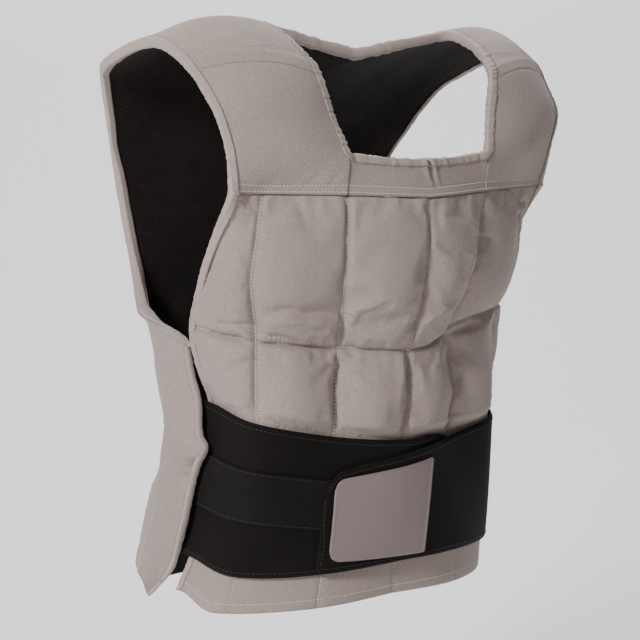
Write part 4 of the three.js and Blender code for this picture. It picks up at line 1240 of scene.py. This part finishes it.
beltLook = {
    "rows": 50,
    "elasticRows": 30,
    "rightRuns": [(-4.4, -3, 24), (-3, 0.95, 123)],
    "leftRuns": [(-1.12, -0.87, 11), (-0.87, 3, 124), (3, 4.4, 24)],
    "elasticRuns": [(-3.15, -0.95, 85)],
    "elasticEdge": 0.4,
    "stitchInset": 5.0,
    "elasticInset": 2.5,
}
rightPlaces = joinedRuns(*beltLook["rightRuns"])
rightGrid = band(rightBeltTable, rightPlaces, beltLook["rows"], lambda s: beltThickness + 0 * s)
beltRight, rightNormals = roundedShell("beltRight", rightGrid, beltThickness, neoprene)
leftGrid = band(leftBeltTable, joinedRuns(*beltLook["leftRuns"]), beltLook["rows"], leftLift)
beltLeft, leftNormals = roundedShell("beltLeft", leftGrid, beltThickness, neoprene)
elasticPlaces = joinedRuns(*beltLook["elasticRuns"])
elasticLift = beltThickness + layerSlack + elasticThickness
elasticGrid = band(elasticTable, elasticPlaces, beltLook["elasticRows"], lambda s: elasticLift + 0 * s)
beltElastic, elasticNormals = roundedShell(
    "beltElastic", elasticGrid, elasticThickness, ribbed, beltLook["elasticEdge"]
)
patchLook = {
    "rows": 40,
    "runs": [(-1, -0.85, 9), (-0.85, 0.25, 49), (0.25, 0.4, 11)],
    "lean": 0.07,
    "rim": 0.35,
    "lip": 0.8,
    "edge": 0.8,
}
patchPlaces = joinedRuns(*patchLook["runs"])
patchV, patchS = np.meshgrid(np.linspace(0, 1, patchLook["rows"] + 1), patchPlaces, indexing="ij")
patchRows = lerp(beltLine(patchTable, "top", patchS), beltLine(patchTable, "bottom", patchS), patchV)
patchLength = patchPlaces[-1] - patchPlaces[0]
patchS = patchS + patchLook["lean"] * (1 - 2 * patchV) * (patchS - patchPlaces[0]) / patchLength
patchGrid = beltPoint(patchS, patchRows, leftLift(patchS) + layerSlack + patchThickness)
patchU, patchV = lengths(patchGrid)
toPatchEnd = patchU[:, -1:] - patchU
patchNear = np.min(np.stack([patchV, patchV[-1:] - patchV, patchU - patchU[:, :1], toPatchEnd]), 0)
patchRim = patchLook["rim"] * bell(patchNear - 2.2, 1.3) + patchLook["lip"] * bell(toPatchEnd - 1.8, 1.2)
patchGrid = patchGrid + gridNormals(patchGrid) * patchRim[..., None]
beltPatch = roundedShell("beltPatch", patchGrid, patchThickness, rubber, patchLook["edge"])[0]
for piece, cadNode, slotName, grid in (
    (beltRight, "belt_right", "belt", rightGrid),
    (beltLeft, "belt_left", "belt", leftGrid),
    (beltElastic, "belt_elastic", "elastic", elasticGrid),
):
    attach(piece, cadNode)
attach(beltPatch, "belt_patch")


def borderStitches(grid, normals, inset, sides, pitch):
    # Stitches at an inset from the named sides of a band.
    rows, cols = grid.shape[:2]
    u, v = lengths(grid)
    found = []
    c = np.linspace(2, cols - 3, 260)
    for side in ("top", "bottom"):
        if side in sides:
            far = [inset if side == "top" else v[-1, int(i)] - inset for i in c]
            r = np.array([np.interp(place, v[:, int(i)], np.arange(rows)) for place, i in zip(far, c)])
            found.append(seamStitches(grid, normals, r, c, pitch))
    r = np.linspace(3, rows - 4, 120)
    for side, sign in (("first", 1), ("last", -1)):
        if side in sides:
            edge = 0 if sign > 0 else cols - 1
            far = [np.interp(inset, np.abs(u[int(i)] - u[int(i), edge])[::sign], np.arange(cols)) for i in r]
            place = np.array(far) if sign > 0 else cols - 1 - np.array(far)
            found.append(seamStitches(grid, normals, r, place, pitch))
    return found


beltSides = ("top", "bottom", "first", "last")
beltInset, elasticInset = beltLook["stitchInset"], beltLook["elasticInset"]
beltStitches = borderStitches(rightGrid, rightNormals, beltInset, beltSides[:2], stitchPitch["belt"])
beltStitches += borderStitches(leftGrid, leftNormals, beltInset, beltSides[:3], stitchPitch["belt"])
beltStitches += borderStitches(elasticGrid, elasticNormals, elasticInset, beltSides, stitchPitch["elastic"])
stitches("beltStitches", beltStitches, darkThread)
print("belt made")

# Edge binding: tape folded round the panels' edges

bindingLook = {
    "width": 6.5, "thickness": 0.7, "clear": 0.2, "bulge": 1.2, "gather": 0.4, "neckGathers": 2.0,
    "underArmShare": 0.75, "wingShare": 0.55,
    "across": [1.0, 0.75, 0.5, 0.25, 0.08, 0.0],
    "cells": 24, "bend": 80, "bendSteps": 9,
}


def edgeLine(face, i, j, step, distances):
    # Points of a face at distances from its edge.
    points = np.array([face[i + step[0] * n, j + step[1] * n] for n in range(bindingLook["cells"])])
    return onLine(distances, distancesAlong(points), points)


def edgeRun(outer, inner, cells, step, share=1.0):
    # Sections across an edge: points on the outer face, points on the inner one, and the tape's share.
    distances = np.array(bindingLook["across"]) * bindingLook["width"] * share
    return [(*[edgeLine(face, i, j, step, distances) for face in (outer, inner)], share) for i, j in cells]


def bindingTape(name, sections, closed, material, cadNode, gathers=1.0):
    # Tape round an edge, thick, closed, and clear of the cloth under it.
    ring = []
    tops = []
    clear, thick = bindingLook["clear"], bindingLook["thickness"]
    turns = np.linspace(bindingLook["bend"], -bindingLook["bend"], bindingLook["bendSteps"]) * math.pi / 180
    for outerLine, innerLine, share in sections:
        normal = unit(outerLine[-1] - innerLine[-1])
        out = unit(outerLine[-1] - outerLine[0] + innerLine[-1] - innerLine[0])
        half = np.linalg.norm(outerLine[-1] - innerLine[-1]) / 2
        middle = (outerLine[-1] + innerLine[-1]) / 2
        bulge = bindingLook["bulge"] * share

        def path(lift):
            upper = [p + normal * lift for p in outerLine]
            bend = [
                middle + normal * ((half + lift) * math.sin(a)) + out * ((bulge + lift) * math.cos(a))
                for a in turns
            ]
            lower = [p - normal * lift for p in innerLine[::-1]]
            return upper + bend + lower

        noise = softNoise(np.array(len(ring) * 0.9), np.array(3.0), seeds["gather"])
        gather = gathers * bindingLook["gather"] * float(noise)
        outside, inside = path(clear + thick + gather), path(clear)
        ring.append(np.array(outside + inside[::-1]))
        tops.append((outside[0], outside[1], normal))
    ring = np.array(ring)
    count, around = ring.shape[:2]
    ids = np.arange(count * around).reshape(count, around)
    nextRow = np.roll(ids, -1, 0) if closed else ids[1:]
    here = ids if closed else ids[:-1]
    faces = [np.stack([here, np.roll(here, -1, 1), np.roll(nextRow, -1, 1), nextRow], -1).reshape(-1, 4)]
    if not closed:
        s = np.arange(around // 2 - 1)
        for row in (0, count - 1):
            faces.append(ids[row][np.stack([s, s + 1, around - 2 - s, around - 1 - s], -1)])
    span, girth = distancesAlong(ring[:, 0]), distancesAlong(ring[0])
    uv = np.stack(np.meshgrid(girth, span), -1).reshape(-1, 2)
    piece = outward(meshPiece(name, ring.reshape(-1, 3), faces, material, uv, np.zeros(count * around)))
    attach(piece, cadNode)
    around = np.linalg.norm(ring - np.roll(ring, 1, 1), axis=-1).sum(1)
    return piece, (float(around.mean()) / 2 * mm, float(span[-1]) * mm), tops


def tapeStitches(tops, closed):
    # Stitches along a tape, just inside its edge.
    points = np.array([lerp(a, b, 0.55) for a, b, _ in tops])
    normals = np.array([n for _, _, n in tops])
    if closed:
        points, normals = np.concatenate([points, points[:1]]), np.concatenate([normals, normals[:1]])
    return stitchRow(points, normals, stitchPitch["tape"], 0.7)


def nearest(line, value):
    return int(np.argmin(np.abs(line - value)))


lastRow = len(vLine) - 1
lastK = len(kLine) - 1
lastStrap = len(strapWidths) - 1
strapEnd = len(strapRows) - 1
cornerColumn = nearest(backPlaces, 1)
lastBackColumn = len(backPlaces) - 1
neckIndex = nearest(backRows, neckRow)
neckColumn = nearest(backPlaces, 0.5)
rightNeck = nearest(backPlaces, -0.5)
armEdge = [(i, cornerColumn) for i in range(0, armholeIndex - 6)]
underArmEdge = [(armholeIndex, j) for j in range(cornerColumn + 3, lastBackColumn - 2)]
wingEdge = [(i, lastBackColumn) for i in range(armholeIndex + 3, len(backRows))]
leftSections = (
    edgeRun(frontOuter, frontInner, [(i, lastK) for i in range(lastRow, 0, -1)], (0, -1))
    + edgeRun(strapOuter, strapInner, [(i, lastStrap) for i in range(0, strapEnd)], (0, -1))
    + edgeRun(backOuter, liningInner, armEdge, (0, -1))
    + edgeRun(backOuter, liningInner, underArmEdge, (1, 0), bindingLook["underArmShare"])
    + edgeRun(backOuter, liningInner, wingEdge, (0, -1), bindingLook["wingShare"])
)


def mirrorSections(sections):
    return [(mirror(a), mirror(b), share) for a, b, share in sections]


tapes = []
for name, cadNode, sections in (
    ("bindingLeft", "armhole_binding_left", leftSections),
    ("bindingRight", "armhole_binding_right", mirrorSections(leftSections)),
):
    piece, flat, tops = bindingTape(name, sections, False, tape, cadNode)
    tapes.append(tapeStitches(tops, False))
yokeTop = len(yokeRise) - 1
yokeRowOnStrap = int(np.searchsorted(strapRows, 1.0)) + 1
strapNeck = [(i, 0) for i in range(yokeRowOnStrap, strapEnd)]
backNeck = [(i, neckColumn) for i in range(0, neckIndex - 1)]
leftCollar = edgeRun(strapOuter, strapInner, strapNeck, (0, 1))
leftCollar += edgeRun(backOuter, liningInner, backNeck, (0, 1))
collarSections = (
    edgeRun(yokeOuter, yokeInner, [(yokeTop, j) for j in range(3, len(yokeK) - 3)], (-1, 0))
    + leftCollar
    + edgeRun(backOuter, liningInner, [(neckIndex, j) for j in range(neckColumn - 1, rightNeck, -1)], (1, 0))
    + mirrorSections(leftCollar)[::-1]
)
neckLook = (True, tape, "neckline_binding", bindingLook["neckGathers"])
piece, flat, tops = bindingTape("bindingNeck", collarSections, *neckLook)
tapes.append(tapeStitches(tops, True))
stitches("bindingStitches", tapes, tapeThread)
print("bindings made")

# Stage, light and camera

stageLook = {
    "floor": -0.86, "back": 2.4, "bend": 0.9, "bendSteps": 12, "half": 6.0, "top": 5.0,
    "turn": 38.0, "roughness": 0.95,
    "shade": (0.86, 0.86, 0.86),
}


def makeStage():
    low, back, bend, half = (stageLook[key] for key in ("floor", "back", "bend", "half"))
    profile = [(-half, low), (back - bend, low)]
    for i in range(1, stageLook["bendSteps"] + 1):
        angle = math.pi / 2 * i / stageLook["bendSteps"]
        profile.append((back - bend + bend * math.sin(angle), low + bend * (1 - math.cos(angle))))
    profile.append((back, stageLook["top"]))
    turn = math.radians(stageLook["turn"])
    cosine, sine = math.cos(turn), math.sin(turn)
    points = []
    for x in (-half, half):
        points += [(x * cosine + y * sine, y * cosine - x * sine, z) for y, z in profile]
    n = len(profile)
    faces = [(i, i + 1, n + i + 1, n + i) for i in range(n - 1)]
    mesh = bpy.data.meshes.new("floor")
    mesh.from_pydata(points, [], faces)
    mesh.polygons.foreach_set("use_smooth", [True] * len(mesh.polygons))
    floor = linked("floor", mesh)
    material, _, shader = newMaterial("paleFloor", stageLook["roughness"])
    shader.inputs["Base Color"].default_value = (*stageLook["shade"], 1)
    mesh.materials.append(material)


makeStage()


def areaLight(name, place, target, size, power):
    light = bpy.data.lights.new(name, "AREA")
    light.shape = "DISK"
    light.size = size
    light.energy = power
    lamp = linked(name, light)
    lamp.location = place
    lamp.rotation_euler = (Vector(target) - Vector(place)).to_track_quat("-Z", "Y").to_euler()


lamps = [  # name, place, size, power
    ("key", (-2.4, -0.85, 0.95), 0.5, 92),
    ("front", (-0.6, -2.6, 0.9), 1.6, 6),
    ("top", (0.0, -0.2, 2.2), 1.4, 3),
]
lampTarget = (0, 0, -0.28)
backdrop = {"sides": (-1.1, 0.0, 1.1), "height": 1.9, "aim": 1.7, "aimHeight": -0.4, "size": 1.0, "power": 34}
worldStrength = 0.08
for name, place, size, power in lamps:
    areaLight(name, place, lampTarget, size, power)
for i, side in enumerate(backdrop["sides"]):
    ahead = np.array([0.616, 0.788, 0]) + np.array([0.788, -0.616, 0]) * side
    place = tuple(ahead + np.array([0, 0, backdrop["height"]]))
    aim = tuple(ahead * backdrop["aim"] + np.array([0, 0, backdrop["aimHeight"]]))
    areaLight(f"backdrop{i}", place, aim, backdrop["size"], backdrop["power"])
world = bpy.data.worlds.new("studio")
bpy.context.scene.world = world
world.use_nodes = True
world.node_tree.nodes["Background"].inputs["Color"].default_value = (1, 1, 1, 1)
world.node_tree.nodes["Background"].inputs["Strength"].default_value = worldStrength

view = {
    "target": (-0.0276, 0.0216, -0.292),
    "azimuth": -38.0, "elevation": 6.0, "distance": 1.85, "lens": 104.06, "sensor": 36.0,
}
cameraData = bpy.data.cameras.new("camera")
cameraData.sensor_width = view["sensor"]
cameraData.lens = view["lens"]
cameraData.clip_end = 50
camera = linked("camera", cameraData)
azimuth, elevation = math.radians(view["azimuth"]), math.radians(view["elevation"])
direction = Vector(
    (math.sin(azimuth) * math.cos(elevation), -math.cos(azimuth) * math.cos(elevation), math.sin(elevation))
)
camera.location = Vector(view["target"]) + direction * view["distance"]
camera.rotation_euler = direction.to_track_quat("Z", "Y").to_euler()
bpy.context.scene.camera = camera

bpy.context.view_layer.update()
print("scene made")
